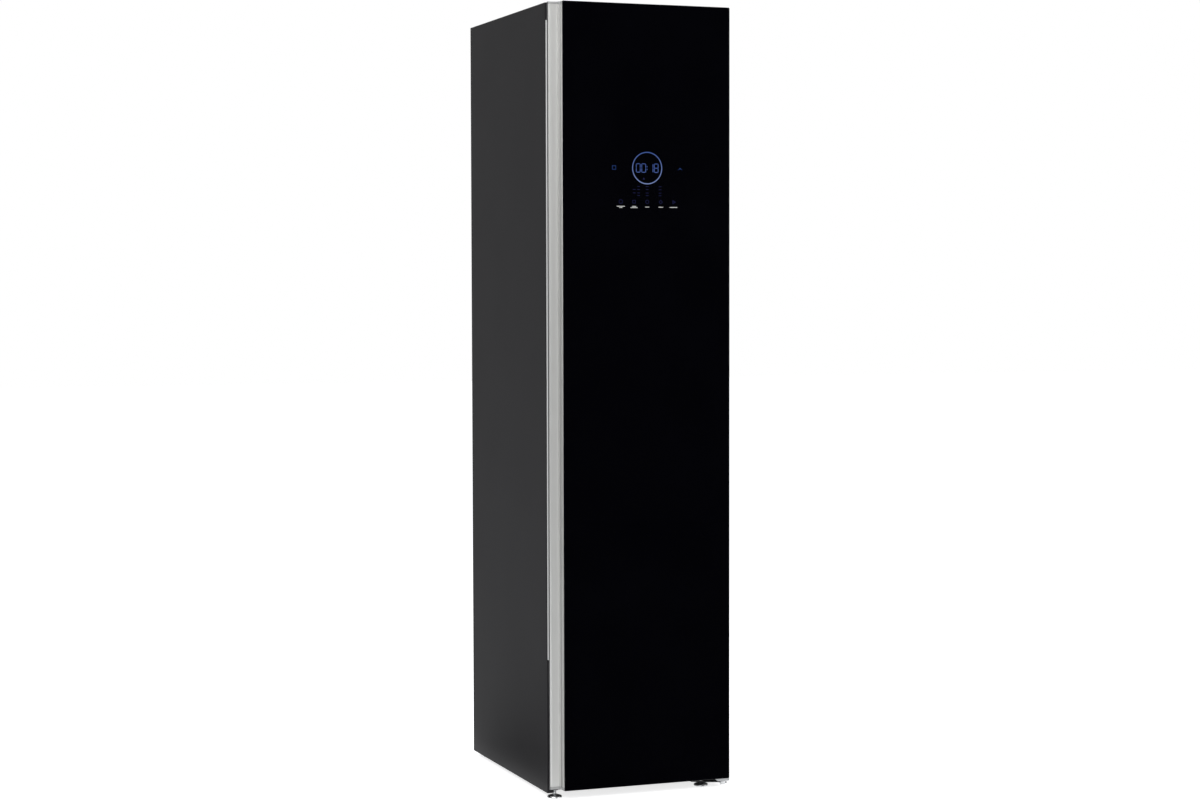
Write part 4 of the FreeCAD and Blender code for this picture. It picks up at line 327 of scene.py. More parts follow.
def grow(name, points, tree, values, edges=()):
    """Run a tree over points in millimetres, and give back the result as a plain mesh."""
    base = bpy.data.meshes.new(name + "_points")
    base.from_pydata([Vector(point) * MM for point in points], list(edges), [])
    seed = add_piece(name + "_seed", base)
    modifier = seed.modifiers.new(tree.name, "NODES")
    modifier.node_group = tree
    for item in tree.interface.items_tree:
        if item.in_out == "INPUT" and item.name in values:
            modifier[item.identifier] = values[item.name]
    seed.update_tag()
    bpy.context.view_layer.update()
    evaluated = seed.evaluated_get(bpy.context.evaluated_depsgraph_get())
    mesh = bpy.data.meshes.new_from_object(evaluated)
    mesh.name = name
    bpy.data.objects.remove(seed)
    mesh.shade_smooth()
    mesh.set_sharp_from_angle(angle=math.radians(CREASE))
    return mesh


def merge(name, *meshes):
    """Put several meshes in one, keeping each one's material."""
    shape = bmesh.new()
    materials = []
    for mesh in meshes:
        first = len(shape.faces)
        shape.from_mesh(mesh)
        shape.faces.ensure_lookup_table()
        for face in shape.faces[first:]:
            face.material_index += len(materials)
        materials += list(mesh.materials)
    whole = bpy.data.meshes.new(name)
    shape.to_mesh(whole)
    shape.free()
    for material in materials:
        whole.materials.append(material)
    return whole


def worked_metal(name, marks, detail, dark, light, gloss, depth=0.0):
    """Bare or plated metal: marks of a real size along each axis, in its tone and its gloss."""
    material, tree, place = new_finish(name)
    way = put(tree, "ShaderNodeMapping", {"Vector": place, "Scale": [1 / size for size in marks]})
    worn = put(tree, "ShaderNodeTexNoise", {"Vector": way.outputs[0], "Scale": 1.0,
                                            "Detail": detail})
    tone = put(tree, "ShaderNodeMix", {0: worn.outputs["Fac"], 6: linear(dark),
                                       7: linear(light)}, data_type="RGBA")
    shine = put(tree, "ShaderNodeMapRange", {"Value": worn.outputs["Fac"],
                                             "To Min": gloss[0], "To Max": gloss[1]})
    sockets = {"Base Color": tone.outputs[2], "Roughness": shine.outputs["Result"],
               "Metallic": 1.0}
    if depth:
        relief = put(tree, "ShaderNodeBump", {"Height": worn.outputs["Fac"], "Distance": depth})
        sockets["Normal"] = relief.outputs["Normal"]
    close_finish(tree, sockets)
    return material


foot_chrome = worked_metal("bright_chromium_plate", [4 * MM] * 3, 2.0, "#D2D3D4", "#E4E5E6",
                           (0.26, 0.36))

thread, given = new_growth("rolled_thread", [
    ("Radius", "NodeSocketFloat", STEM_RADIUS * MM),
    ("Pitch", "NodeSocketFloat", THREAD_PITCH * MM),
    ("Length", "NodeSocketFloat", (THREAD_HIGH - THREAD_LOW) * MM)])
turns = put(thread, "ShaderNodeMath", {0: given["Length"], 1: given["Pitch"]}, operation="DIVIDE")
ridge = put(thread, "ShaderNodeMath", {0: given["Pitch"], 1: RIDGE_SHARE}, operation="MULTIPLY")
crest = put(thread, "ShaderNodeMath", {0: given["Radius"], 1: ridge.outputs[0]},
            operation="SUBTRACT")
helix = put(thread, "GeometryNodeCurveSpiral", {"Resolution": 24, "Rotations": turns.outputs[0],
                                                "Start Radius": crest.outputs[0],
                                                "End Radius": crest.outputs[0],
                                                "Height": given["Length"]})
flank = put(thread, "GeometryNodeCurvePrimitiveCircle", {"Resolution": 4,
                                                         "Radius": ridge.outputs[0]})
ridges = put(thread, "GeometryNodeCurveToMesh", {"Curve": helix.outputs[0],
                                                 "Profile Curve": flank.outputs[0],
                                                 "Fill Caps": True})
stood = put(thread, "GeometryNodeInstanceOnPoints", {"Points": given["Geometry"],
                                                     "Instance": ridges.outputs[0]})
end_growth(thread, stood.outputs[0], foot_chrome)

for node, body in FOOT_BODIES.items():
    low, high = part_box(node)
    x = (low[0] + high[0]) / 2 / MM
    y = (low[1] + high[1]) / 2 / MM
    shape = bmesh.new()
    lathe(shape, FOOT_PROFILE, x, y, 72)
    disc = finish_mesh(shape, node + "_disc", 24)
    disc.materials.append(foot_chrome)
    stem = grow(node + "_thread", [(x, y, THREAD_LOW)], thread,
                {"Radius": STEM_RADIUS * MM, "Pitch": THREAD_PITCH * MM,
                 "Length": (THREAD_HIGH - THREAD_LOW) * MM})
    foot = add_piece("chromed_" + node, merge("chromed_" + node, disc, stem))
    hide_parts(node)
    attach(foot, body)


# ----------------------------------------------------------------------------------------------
# Side panels and top: pre-coated sheet steel, folded front and back and slid on the frame.  The
# charcoal coat is baked on and keeps a fine orange peel under a satin gloss.
# ----------------------------------------------------------------------------------------------
def baked_paint(name, dark, light, roughness, peel, gloss=0.5):
    """Baked paint on steel: even colour, the faint ripple of orange peel, a satin gloss."""
    material, tree, place = new_finish(name)
    cloud = put(tree, "ShaderNodeTexNoise", {"Vector": place, "Scale": 1 / (250 * MM),
                                             "Detail": 3.0})
    ripple = put(tree, "ShaderNodeTexNoise", {"Vector": place, "Scale": 1 / peel, "Detail": 2.0})
    colour = put(tree, "ShaderNodeMix", {0: cloud.outputs["Fac"], 6: linear(dark),
                                         7: linear(light)}, data_type="RGBA")
    shine = put(tree, "ShaderNodeMapRange", {"Value": cloud.outputs["Fac"],
                                             "To Min": roughness - 0.03,
                                             "To Max": roughness + 0.03})
    relief = put(tree, "ShaderNodeBump", {"Height": ripple.outputs["Fac"], "Distance": 0.02 * MM})
    close_finish(tree, {"Base Color": colour.outputs[2], "Roughness": shine.outputs["Result"],
                        "Normal": relief.outputs["Normal"], "IOR": 1.5,
                        "Specular IOR Level": gloss})
    return material


side_paint = baked_paint("satin_charcoal_coated_steel", "#1E1D1F", "#222123", 0.52, 1.6 * MM, 0.16)
dress(side_paint, "left_side_panel", "right_side_panel", "top_panel")


# ----------------------------------------------------------------------------------------------
# Rear panel: hot-dip galvanised sheet with pressed beads and louvres, held by flat screws.  Zinc
# freezes in spangles about a centimetre across, each with its own grey.
# ----------------------------------------------------------------------------------------------
SPANGLE = 9.0
SCREW_RADIUS = 3.6
SCREW_HEAD = 0.85
# Sizes of a screw, each a share of its head's radius or height.
SCREW_SHARES = (("Head Radius", 0.8), ("Head Radius", 1.05), ("Head Radius", 0.24),
                ("Head Height", 1.9))
REAR_FACE = 304.0
REAR_SCREWS = ([(x, REAR_FACE, z) for x in (-197, 197) for z in (74, 380, 720, 1080, 1440, 1790)]
               + [(x, REAR_FACE, 1828) for x in (-110, 0, 110)])

rear_zinc, tree, place = new_finish("hot_dip_galvanised_steel")
grains = put(tree, "ShaderNodeTexVoronoi", {"Vector": place, "Scale": 1 / (SPANGLE * MM)})
grain_values = put(tree, "ShaderNodeSeparateColor", {"Color": grains.outputs["Color"]})
rain = put(tree, "ShaderNodeTexNoise", {"Vector": place, "Scale": 1 / (143 * MM), "Detail": 5.0})
spangles = put(tree, "ShaderNodeMix", {0: grain_values.outputs["Red"], 6: linear("#9EA1A3"),
                                       7: linear("#B9BCBE")}, data_type="RGBA")
bloom = put(tree, "ShaderNodeMix", {0: 0.16, 6: spangles.outputs[2], 7: rain.outputs["Color"]},
            data_type="RGBA", blend_type="SOFT_LIGHT")
frost = put(tree, "ShaderNodeMapRange", {"Value": grain_values.outputs["Green"],
                                         "To Min": 0.36, "To Max": 0.5})
close_finish(tree, {"Base Color": bloom.outputs[2], "Roughness": frost.outputs["Result"],
                    "Metallic": 1.0})
dress(rear_zinc, "rear_panel")

# The zinc on the screws has a pale, faintly mottled shine.
zinc_plate = worked_metal("bright_zinc_plated_screw", [1.5 * MM] * 3, 2.0, "#A9ACAF", "#C6C8CA",
                          (0.24, 0.36))

# One screw head: a low cone frustum with a crossed recess, turned at random about its axis.
screws, given = new_growth("flat_cross_screws", [
    ("Head Radius", "NodeSocketFloat", SCREW_RADIUS * MM),
    ("Head Height", "NodeSocketFloat", SCREW_HEAD * MM),
    ("Facing", "NodeSocketVector", (0, 0, 0))])
brow, arm, web, deep = [
    put(screws, "ShaderNodeMath", {0: given[size], 1: share}, operation="MULTIPLY").outputs[0]
    for size, share in SCREW_SHARES]
lift = put(screws, "ShaderNodeCombineXYZ", {"Z": given["Head Height"]})
head = put(screws, "GeometryNodeMeshCone", {"Vertices": 28, "Radius Top": brow,
                                            "Radius Bottom": given["Head Radius"],
                                            "Depth": given["Head Height"]})
for across, along in ((arm, web), (web, arm)):
    size = put(screws, "ShaderNodeCombineXYZ", {"X": across, "Y": along, "Z": deep})
    blade = put(screws, "GeometryNodeMeshCube", {"Size": size.outputs[0]})
    raised = put(screws, "GeometryNodeTransform", {"Geometry": blade.outputs[0],
                                                   "Translation": lift.outputs[0]})
    head = put(screws, "GeometryNodeMeshBoolean", {"Mesh 1": head.outputs[0],
                                                   "Mesh 2": raised.outputs[0]},
               operation="DIFFERENCE", solver="EXACT")
twist = put(screws, "FunctionNodeRandomValue", {"Min": (0, 0, 0), "Max": (0, 0, math.tau),
                                                "Seed": 7}, data_type="FLOAT_VECTOR")
faced = put(screws, "GeometryNodeInstanceOnPoints", {"Points": given["Geometry"],
                                                     "Instance": head.outputs[0],
                                                     "Rotation": given["Facing"]})
spun = put(screws, "GeometryNodeRotateInstances", {"Instances": faced.outputs[0],
                                                   "Rotation": twist.outputs[0],
                                                   "Local Space": True})
end_growth(screws, spun.outputs[0], zinc_plate)


def screw_row(name, body, places, facing):
    """A group of like screws that ride on one body."""
    mesh = grow(name, places, screws, {"Head Radius": SCREW_RADIUS * MM,
                                       "Head Height": SCREW_HEAD * MM, "Facing": facing})
    piece = add_piece(name, mesh)
    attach(piece, body)


screw_row("rear_panel_screws", "cabinet", REAR_SCREWS, (-math.pi / 2, 0, 0))


# ----------------------------------------------------------------------------------------------
# Machine bay, air side: duct, volute and blower wheel in black polypropylene, fin blocks of mill
# finish aluminium with copper return bends at both ends.
# ----------------------------------------------------------------------------------------------
FIN_STEP = 2.1
BENDS_LEFT, BENDS_RIGHT = -184.0, -22.5
# A wave texture of scale 1 has a band every tau / 20.
BAND = math.tau / 20

dress(black_frame, "tank_bay", "air_duct", "power_inlet")
# Acetal takes a closer skin from its mould than polypropylene, and shines a little more.
black_acetal = moulded("black_acetal", "#1A1A1C", "#202022", 0.34, 0.4 * MM)
dress(black_acetal, "fan_wheel", "fan_housing", "water_pumps", "door_switch_plunger")

# The fins are drawn as fine upright lines, and the darker bands between them are painted shade of
# the gaps between fins; beyond the block's ends the same node is copper bends, which stay smooth.
fin_stock, tree, place = new_finish("mill_aluminium_fins_and_copper_bends")
axes = put(tree, "ShaderNodeSeparateXYZ", {"Vector": place})
fins = put(tree, "ShaderNodeTexWave", {"Vector": place, "Scale": BAND / (FIN_STEP * MM),
                                       "Distortion": 0.4, "Detail": 2.0},
           wave_type="BANDS", bands_direction="X")
fin_lines_and_gap_shade = put(tree, "ShaderNodeMix", {0: fins.outputs["Fac"], 6: linear("#8E9092"),
                                       7: linear("#C9CBCD")}, data_type="RGBA")
right_bends = put(tree, "ShaderNodeMath", {0: axes.outputs["X"], 1: BENDS_RIGHT * MM},
                  operation="GREATER_THAN")
left_bends = put(tree, "ShaderNodeMath", {0: axes.outputs["X"], 1: BENDS_LEFT * MM},
                 operation="LESS_THAN")
bends = put(tree, "ShaderNodeMath", {0: right_bends.outputs[0], 1: left_bends.outputs[0]},
            operation="MAXIMUM")
fin_colour = put(tree, "ShaderNodeMix", {0: bends.outputs[0], 6: fin_lines_and_gap_shade.outputs[2],
                                         7: linear("#B26B4A")}, data_type="RGBA")
fin_height = put(tree, "ShaderNodeMath", {0: fins.outputs["Fac"], 1: bends.outputs[0]},
                 operation="SUBTRACT", use_clamp=True)
fin_relief = put(tree, "ShaderNodeBump", {"Height": fin_height.outputs[0], "Distance": 0.3 * MM})
fin_shine = put(tree, "ShaderNodeMapRange", {"Value": fin_height.outputs[0],
                                             "To Min": 0.3, "To Max": 0.42})
close_finish(tree, {"Base Color": fin_colour.outputs[2], "Roughness": fin_shine.outputs["Result"],
                    "Normal": fin_relief.outputs["Normal"], "Metallic": 1.0})
dress(fin_stock, "evaporator", "condenser")
# The motor's case is stove enamelled in a soft grey.
motor_case = baked_paint("grey_motor_case", "#6E7073", "#77797C", 0.4, 1.0 * MM)
dress(motor_case, "fan_motor")


# ----------------------------------------------------------------------------------------------
# Compressor: two drawn steel shells welded round the middle, black enamelled, on a foot plate
# with three rubber grommets.  The suction bottle is strapped to its side.
# ----------------------------------------------------------------------------------------------
CAN_X, CAN_Y = 122.0, 40.0
CAN_PROFILE = [(44, 33), (49, 34.5), (51, 38), (51, 118), (51.6, 119), (52, 120), (52, 128),
               (51.6, 129), (51, 130), (51, 168), (50, 181), (46, 193), (38, 203), (26, 210),
               (12, 212.6), (6, 213)]
BOTTLE_X = 44.0
BOTTLE_PROFILE = [(5, 73), (7, 76), (14, 79), (18, 85), (19, 92), (19, 154), (18, 162), (13, 170),
                  (7, 173), (5, 175)]
FOOT_PLATE = [(110, 116), (52.8, -1), (191.2, -1), (134, 116)]
FOOT_PLATE_LOW, FOOT_PLATE_HIGH = 33, 36
STRAPS = (94.0, 154.0)
STRAP_LEFT, STRAP_RIGHT, STRAP_HALF, STRAP_HEIGHT = 60, 74, 3, 6

# Dipped enamel lies thick and glossy, with a slight ripple.
can_enamel = baked_paint("black_compressor_enamel", "#121213", "#18181A", 0.3, 1.2 * MM)
shape = bmesh.new()
lathe(shape, CAN_PROFILE, CAN_X, CAN_Y, 72)
lathe(shape, BOTTLE_PROFILE, BOTTLE_X, CAN_Y, 40)
strap = [(STRAP_LEFT, CAN_Y - STRAP_HALF), (STRAP_RIGHT, CAN_Y - STRAP_HALF),
         (STRAP_RIGHT, CAN_Y + STRAP_HALF), (STRAP_LEFT, CAN_Y + STRAP_HALF)]
for outline, low, high in [(FOOT_PLATE, FOOT_PLATE_LOW, FOOT_PLATE_HIGH)] + [
        (strap, z, z + STRAP_HEIGHT) for z in STRAPS]:
    skin(shape, [[(x, y, low) for x, y in outline], [(x, y, high) for x, y in outline]])
compressor = add_piece("welded_compressor", finish_mesh(shape, "welded_compressor"), can_enamel)
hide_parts("compressor")
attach(compressor, "cabinet")
# Rubber is quite matt, with a faint grey bloom.
rubber = moulded("black_epdm_rubber", "#18181A", "#1F1F21", 0.7, 0.6 * MM)
dress(rubber, "compressor_grommets")


# ----------------------------------------------------------------------------------------------
# Refrigerant lines: annealed copper tube, bent on a former and brazed at its ends, rosy brown
# with the first bloom of tarnish.
# ----------------------------------------------------------------------------------------------
HOT_LINE = [(122, 46, 213), (122, 46, 250), (-14.5, 46, 250)]
COLD_LINE = [(44, 40, 175), (44, 40, 221), (44, -44, 221), (26, -44, 196), (-14.5, -44, 196)]
HOT_RADIUS, COLD_RADIUS = 4.0, 5.0
BEND_RATIO = 3
BEND_STEPS = 8

copper = worked_metal("annealed_copper_tube", [9 * MM] * 3, 4.0, "#A45F40", "#CC8A66",
                      (0.42, 0.24))

tube, given = new_growth("bent_tube", [
    ("Radius", "NodeSocketFloat", HOT_RADIUS * MM),
    ("Bend", "NodeSocketFloat", HOT_RADIUS * BEND_RATIO * MM)])
line = put(tube, "GeometryNodeMeshToCurve", {"Mesh": given["Geometry"]})
bent = put(tube, "GeometryNodeFilletCurve", {"Curve": line.outputs[0], "Radius": given["Bend"],
                                             "Count": BEND_STEPS, "Limit Radius": True},
           mode="POLY")
wall = put(tube, "GeometryNodeCurvePrimitiveCircle", {"Resolution": 24,
                                                      "Radius": given["Radius"]})
swept = put(tube, "GeometryNodeCurveToMesh", {"Curve": bent.outputs[0],
                                              "Profile Curve": wall.outputs[0],
                                              "Fill Caps": True})
end_growth(tube, swept.outputs[0], copper)
lines = []
for name, route, radius in (("hot_gas_line", HOT_LINE, HOT_RADIUS),
                            ("suction_line", COLD_LINE, COLD_RADIUS)):
    lines.append(grow(name, route, tube, {"Radius": radius * MM, "Bend": radius * BEND_RATIO * MM},
                      edges=[(i, i + 1) for i in range(len(route) - 1)]))
copper_lines = add_piece("copper_lines", merge("copper_lines", *lines))
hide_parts("refrigerant_lines")
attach(copper_lines, "cabinet")


# ----------------------------------------------------------------------------------------------
# Steam side: a sand-cast aluminium boiler, a silicone hose up to the chamber floor, and the grey
# polysulfone outlet; the control board is glass epoxy under green solder mask.
# ----------------------------------------------------------------------------------------------
BOARD_FRONT_X = 209.4
DOOR_BACK_Y = -262.0
PAD_STEP = 9.0
TRACKS_PER_PAD = 5.0
TRACK_START = 0.68

# The sand leaves the casting with a dull, pitted skin.
casting = worked_metal("sand_cast_aluminium", [1.1 * MM] * 3, 3.0, "#85878A", "#A4A6A8",
                       (0.5, 0.64), depth=0.2 * MM)
dress(casting, "steam_generator")
# Silicone lets a little light in, so its red looks soft; polysulfone is an even satin grey.
silicone = moulded("brick_red_silicone", "#8E4436", "#9A4E3E", 0.55, 0.7 * MM,
                   constants={"Subsurface Weight": 0.05})
dress(silicone, "steam_hose")
nozzle_plastic = moulded("slate_grey_polysulfone", "#4A4C50", "#53555A", 0.4, 0.5 * MM)
dress(nozzle_plastic, "steam_nozzle")

# Tracks show as lighter lines under the mask, nested round their pads; what stands on the board
# is black.
solder_mask, tree, place = new_finish("green_solder_mask")
axes = put(tree, "ShaderNodeSeparateXYZ", {"Vector": place})
across = put(tree, "ShaderNodeMath", {0: axes.outputs["X"], 1: axes.outputs["Y"]}, operation="ADD")
on_board = put(tree, "ShaderNodeCombineXYZ", {"X": across.outputs[0], "Y": axes.outputs["Z"]})
pads = put(tree, "ShaderNodeTexVoronoi", {"Vector": on_board.outputs[0],
                                          "Scale": 1 / (PAD_STEP * MM), "Randomness": 0.8},
           distance="CHEBYCHEV")
nested = put(tree, "ShaderNodeMath", {0: pads.outputs["Distance"], 1: TRACKS_PER_PAD},
             operation="MULTIPLY")
turns = put(tree, "ShaderNodeMath", {0: nested.outputs[0]}, operation="FRACT")
tracks = put(tree, "ShaderNodeMath", {0: turns.outputs[0], 1: TRACK_START},
             operation="GREATER_THAN")
mask_tone = put(tree, "ShaderNodeMix", {0: tracks.outputs[0], 6: linear("#1B4630"),
                                        7: linear("#2C6446")}, data_type="RGBA")
parts = put(tree, "ShaderNodeMath", {0: axes.outputs["X"], 1: BOARD_FRONT_X * MM},
            operation="LESS_THAN")
behind = put(tree, "ShaderNodeMath", {0: axes.outputs["Y"], 1: DOOR_BACK_Y * MM},
             operation="GREATER_THAN")
raised = put(tree, "ShaderNodeMath", {0: parts.outputs[0], 1: behind.outputs[0]},
             operation="MULTIPLY")
board_colour = put(tree, "ShaderNodeMix", {0: raised.outputs[0], 6: mask_tone.outputs[2],
                                           7: linear("#1C1C1E")}, data_type="RGBA")
board_shine = put(tree, "ShaderNodeMapRange", {"Value": tracks.outputs[0],
                                               "To Min": 0.3, "To Max": 0.38})
close_finish(tree, {"Base Color": board_colour.outputs[2], "IOR": 1.5,
                    "Roughness": board_shine.outputs["Result"]})
dress(solder_mask, "control_board", "display_board")


# ----------------------------------------------------------------------------------------------
# Water tanks: smoky clear SAN bodies with slate grey ABS lids that carry the pull and a filler
# cap.  The caps have fine grip ribs all round.
# ----------------------------------------------------------------------------------------------
CAP_RADIUS = 17.0
CAP_LOW, CAP_HIGH = 258.2, 262.8
CAP_X, CAP_Y = 97.0, -145.0
CAP_RIBS = 36
RIB_RADIUS = 0.5

# The clear plastic shines on its faces, and its smoke swallows most of what lies inside.
tank_clear = moulded("smoky_clear_san", "#7D858B", "#8A9299", 0.24, 30 * MM, depth=0.01 * MM,
                     constants={"Transmission Weight": 0.4, "IOR": 1.57})
dress(tank_clear, "supply_tank", "drain_tank")
# The lids' ABS takes an even satin from its mould.
lid_plastic = moulded("slate_grey_abs_lid", "#4E5054", "#57595D", 0.36, 0.5 * MM)
dress(lid_plastic, "supply_tank_lid", "drain_tank_lid")

ribs, given = new_growth("grip_ribs", [
    ("Count", "NodeSocketInt", CAP_RIBS),
    ("Radius", "NodeSocketFloat", CAP_RADIUS * MM),
    ("Height", "NodeSocketFloat", (CAP_HIGH - CAP_LOW) * MM)])
rim = put(ribs, "GeometryNodeMeshCircle", {"Vertices": given["Count"], "Radius": given["Radius"]})
rib = put(ribs, "GeometryNodeMeshCylinder", {"Vertices": 8, "Radius": RIB_RADIUS * MM,
                                             "Depth": given["Height"]})
knurl = put(ribs, "GeometryNodeInstanceOnPoints", {"Points": rim.outputs[0],
                                                   "Instance": rib.outputs[0]})
caps = put(ribs, "GeometryNodeInstanceOnPoints", {"Points": given["Geometry"],
                                                  "Instance": knurl.outputs[0]})
end_growth(ribs, caps.outputs[0], lid_plastic)
for body, x in (("supply_tank", -CAP_X), ("drain_tank", CAP_X)):
    grip = add_piece(body + "_cap_ribs",
                     grow(body + "_cap_ribs", [(x, CAP_Y, (CAP_LOW + CAP_HIGH) / 2)], ribs,
                          {"Count": CAP_RIBS, "Radius": CAP_RADIUS * MM,
                           "Height": (CAP_HIGH - CAP_LOW) * MM}))
    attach(grip, body)


# ----------------------------------------------------------------------------------------------
# Treatment chamber: vacuum-formed liners in warm light grey polystyrene that shrugs off steam,
# slate grey floor and air duct cover, and a silver grey slatted shelf.
# ----------------------------------------------------------------------------------------------
DUCT_FACE = 240.0
DUCT_SCREWS = [(x, DUCT_FACE, z) for x in (-92, 92) for z in (370, 1000, 1600)]

# Formed sheet keeps its satin and hardly any grain; polypropylene looks a little waxy; ABS takes
# its silver grey evenly.
chamber_skin = moulded("warm_grey_satin_polystyrene", "#B9B8B5", "#C3C2BF", 0.36, 0.8 * MM)
dress(chamber_skin, "chamber_side_liners", "chamber_rear_liner", "chamber_ceiling")
dark_trim = moulded("slate_grey_satin_polypropylene", "#5B5D61", "#64666A", 0.42, 0.6 * MM)
dress(dark_trim, "rear_duct_cover", "chamber_floor", "rail_drive_frame", "rail_carriage")
silver_trim = moulded("silver_grey_moulded_abs", "#A6A8AB", "#B0B2B5", 0.38, 0.6 * MM)
dress(silver_trim, "garment_shelf", "lint_filter_frame", "trouser_press_plate")
screw_row("duct_cover_screws", "cabinet", DUCT_SCREWS, (math.pi / 2, 0, 0))
# Foam is matt and pocked with open cells.
foam = moulded("cream_polyurethane_foam", "#D8CDAE", "#E6DCBF", 0.85, 2.2 * MM, depth=0.5 * MM)
dress(foam, "foam_insulation", "door_foam")


# ----------------------------------------------------------------------------------------------
# Ceiling lamp: a frosted polycarbonate lens over a row of six LEDs, which glow through it as
# soft spots, clipped into the ceiling.
# ----------------------------------------------------------------------------------------------
LED_PITCH = 20.0
LED_GLOW = 3.0

lens_plastic, tree, place = new_finish("frosted_polycarbonate_lens")
spots = put(tree, "ShaderNodeTexWave", {"Vector": place, "Scale": BAND / (LED_PITCH * MM)},
            wave_type="BANDS", bands_direction="X")
frosting = put(tree, "ShaderNodeTexNoise", {"Vector": place, "Scale": 1 / (0.5 * MM)})
glow = put(tree, "ShaderNodeMix", {0: spots.outputs["Fac"], 6: linear("#DDD4C4"),
                                   7: linear("#FFF6E8")}, data_type="RGBA")
lens_shine = put(tree, "ShaderNodeMapRange", {"Value": frosting.outputs["Fac"],
                                              "To Min": 0.3, "To Max": 0.4})
close_finish(tree, {"Base Color": linear("#EDEEEA"), "Roughness": lens_shine.outputs["Result"],
                    "IOR": 1.58, "Emission Color": glow.outputs[2],
                    "Emission Strength": LED_GLOW})
dress(lens_plastic, "ceiling_lamp")


# ----------------------------------------------------------------------------------------------
# Moving hanger rail: a satin chromed steel rail on two arms, swung by a black acetal crank on a
# small geared motor.
# ----------------------------------------------------------------------------------------------
# Polishing along the rail draws its faint marks out lengthwise.
POLISH_LENGTH, POLISH_WIDTH = 40.0, 0.5

rail_chrome = worked_metal("satin_chromium_plate",
                           (POLISH_LENGTH * MM, POLISH_WIDTH * MM, POLISH_WIDTH * MM),
                           2.0, "#BFC2C5", "#D2D4D6", (0.22, 0.32))
dress(rail_chrome, "hanger_rail")
dress(black_acetal, "drive_crank", "rail_motor")


# ----------------------------------------------------------------------------------------------
# Lint filter's gauze: black polyester yarn woven one over one and welded to the frame.  The yarns
# are 0.55 mm thick at a pitch of 1.8 mm, twice as coarse as real gauze, so that the net shows.
# ----------------------------------------------------------------------------------------------
YARN = 0.55
YARN_PITCH = 1.8
CROSSING = YARN / 8

# Spun yarn is fuzzy and dull, so the net stays black from most sides.
gauze, tree, place = new_finish("black_polyester_yarn")
fuzz = put(tree, "ShaderNodeTexNoise", {"Vector": place, "Scale": 1 / (0.6 * MM), "Detail": 2.0})
yarn_tone = put(tree, "ShaderNodeMix", {0: fuzz.outputs["Fac"], 6: linear("#1C1C1F"),
                                        7: linear("#34343A")}, data_type="RGBA")
yarn_relief = put(tree, "ShaderNodeBump", {"Height": fuzz.outputs["Fac"], "Distance": 0.05 * MM})
close_finish(tree, {"Base Color": yarn_tone.outputs[2], "Roughness": 0.7, "IOR": 1.57,
                    "Normal": yarn_relief.outputs["Normal"]})

net, given = new_growth("yarn_row", [
    ("Yarns", "NodeSocketInt", 1),
    ("Step", "NodeSocketVector", (YARN_PITCH * MM, 0, 0)),
    ("Yarn", "NodeSocketVector", (YARN * MM, YARN * MM, YARN_PITCH * MM))])
row = put(net, "GeometryNodeMeshLine", {"Count": given["Yarns"], "Offset": given["Step"]})
yarn = put(net, "GeometryNodeMeshCube", {"Size": given["Yarn"]})
laid = put(net, "GeometryNodeInstanceOnPoints", {"Points": row.outputs[0],
                                                 "Instance": yarn.outputs[0]})
rows = put(net, "GeometryNodeInstanceOnPoints", {"Points": given["Geometry"],
                                                 "Instance": laid.outputs[0]})
end_growth(net, rows.outputs[0], gauze)

net_low, net_high = (corner / MM for corner in map(Vector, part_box("lint_filter_mesh")))
net_middle = (net_low + net_high) / 2
net_size = net_high - net_low
upright_count = int((net_size.x - YARN) / YARN_PITCH) + 1
level_count = int((net_size.z - YARN) / YARN_PITCH) + 1
upright_start = net_middle.x - (upright_count - 1) * YARN_PITCH / 2
level_start = net_middle.z - (level_count - 1) * YARN_PITCH / 2
uprights = grow("upright_yarns", [(upright_start, net_middle.y - CROSSING, net_middle.z)], net,
                {"Yarns": upright_count, "Step": (YARN_PITCH * MM, 0, 0),
                 "Yarn": (YARN * MM, YARN * MM, net_size.z * MM)})
levels = grow("level_yarns", [(net_middle.x, net_middle.y + CROSSING, level_start)], net,
              {"Yarns": level_count, "Step": (0, 0, YARN_PITCH * MM),
               "Yarn": (net_size.x * MM, YARN * MM, YARN * MM)})
lint_net = add_piece("woven_lint_net", merge("woven_lint_net", uprights, levels))
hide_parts("lint_filter_mesh")
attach(lint_net, "lint_filter")


# ----------------------------------------------------------------------------------------------
# Hinges: 3 mm steel brackets, blanked and black powder coated, screwed up into the base and down
# into the top panel's recess.  A bright bush in the lower one holds the pin, and the door turns on
# its collar by a light grey acetal shoe.
# ----------------------------------------------------------------------------------------------
PIN_X, PIN_Y = 214.0, -285.0
STEM_X, STEM_Y = 169.3, -256.0
BRACKET_LOW, BRACKET_HIGH = 9.0, 12.0
BRACKET_EDGE = 0.4
TONGUE = 6.0
HOLE_STEPS = 32
BRACKET_OUTLINE = ([(219.7, -201), (146.3, -201), (146.3, -250), (171, -264.8), (204, -277.2)]
                   + [(PIN_X + TONGUE * math.cos(math.radians(a)),
                       PIN_Y + TONGUE * math.sin(math.radians(a))) for a in range(170, 281, 10)]
                   + [(222, -290), (222, -282), (219.7, -261)])
BRACKET_HOLES = ((STEM_X, STEM_Y, 5.5), (PIN_X, PIN_Y, 4.0))
BUSH_PROFILE = [(4.1, 8.2), (6.3, 8.2), (6.8, 8.7), (6.8, 12.5), (6.4, 12.9), (4.1, 12.9)]
LOWER_SCREWS = [(x, y, BRACKET_LOW) for x, y in ((160, -206), (204, -206), (204, -238))]

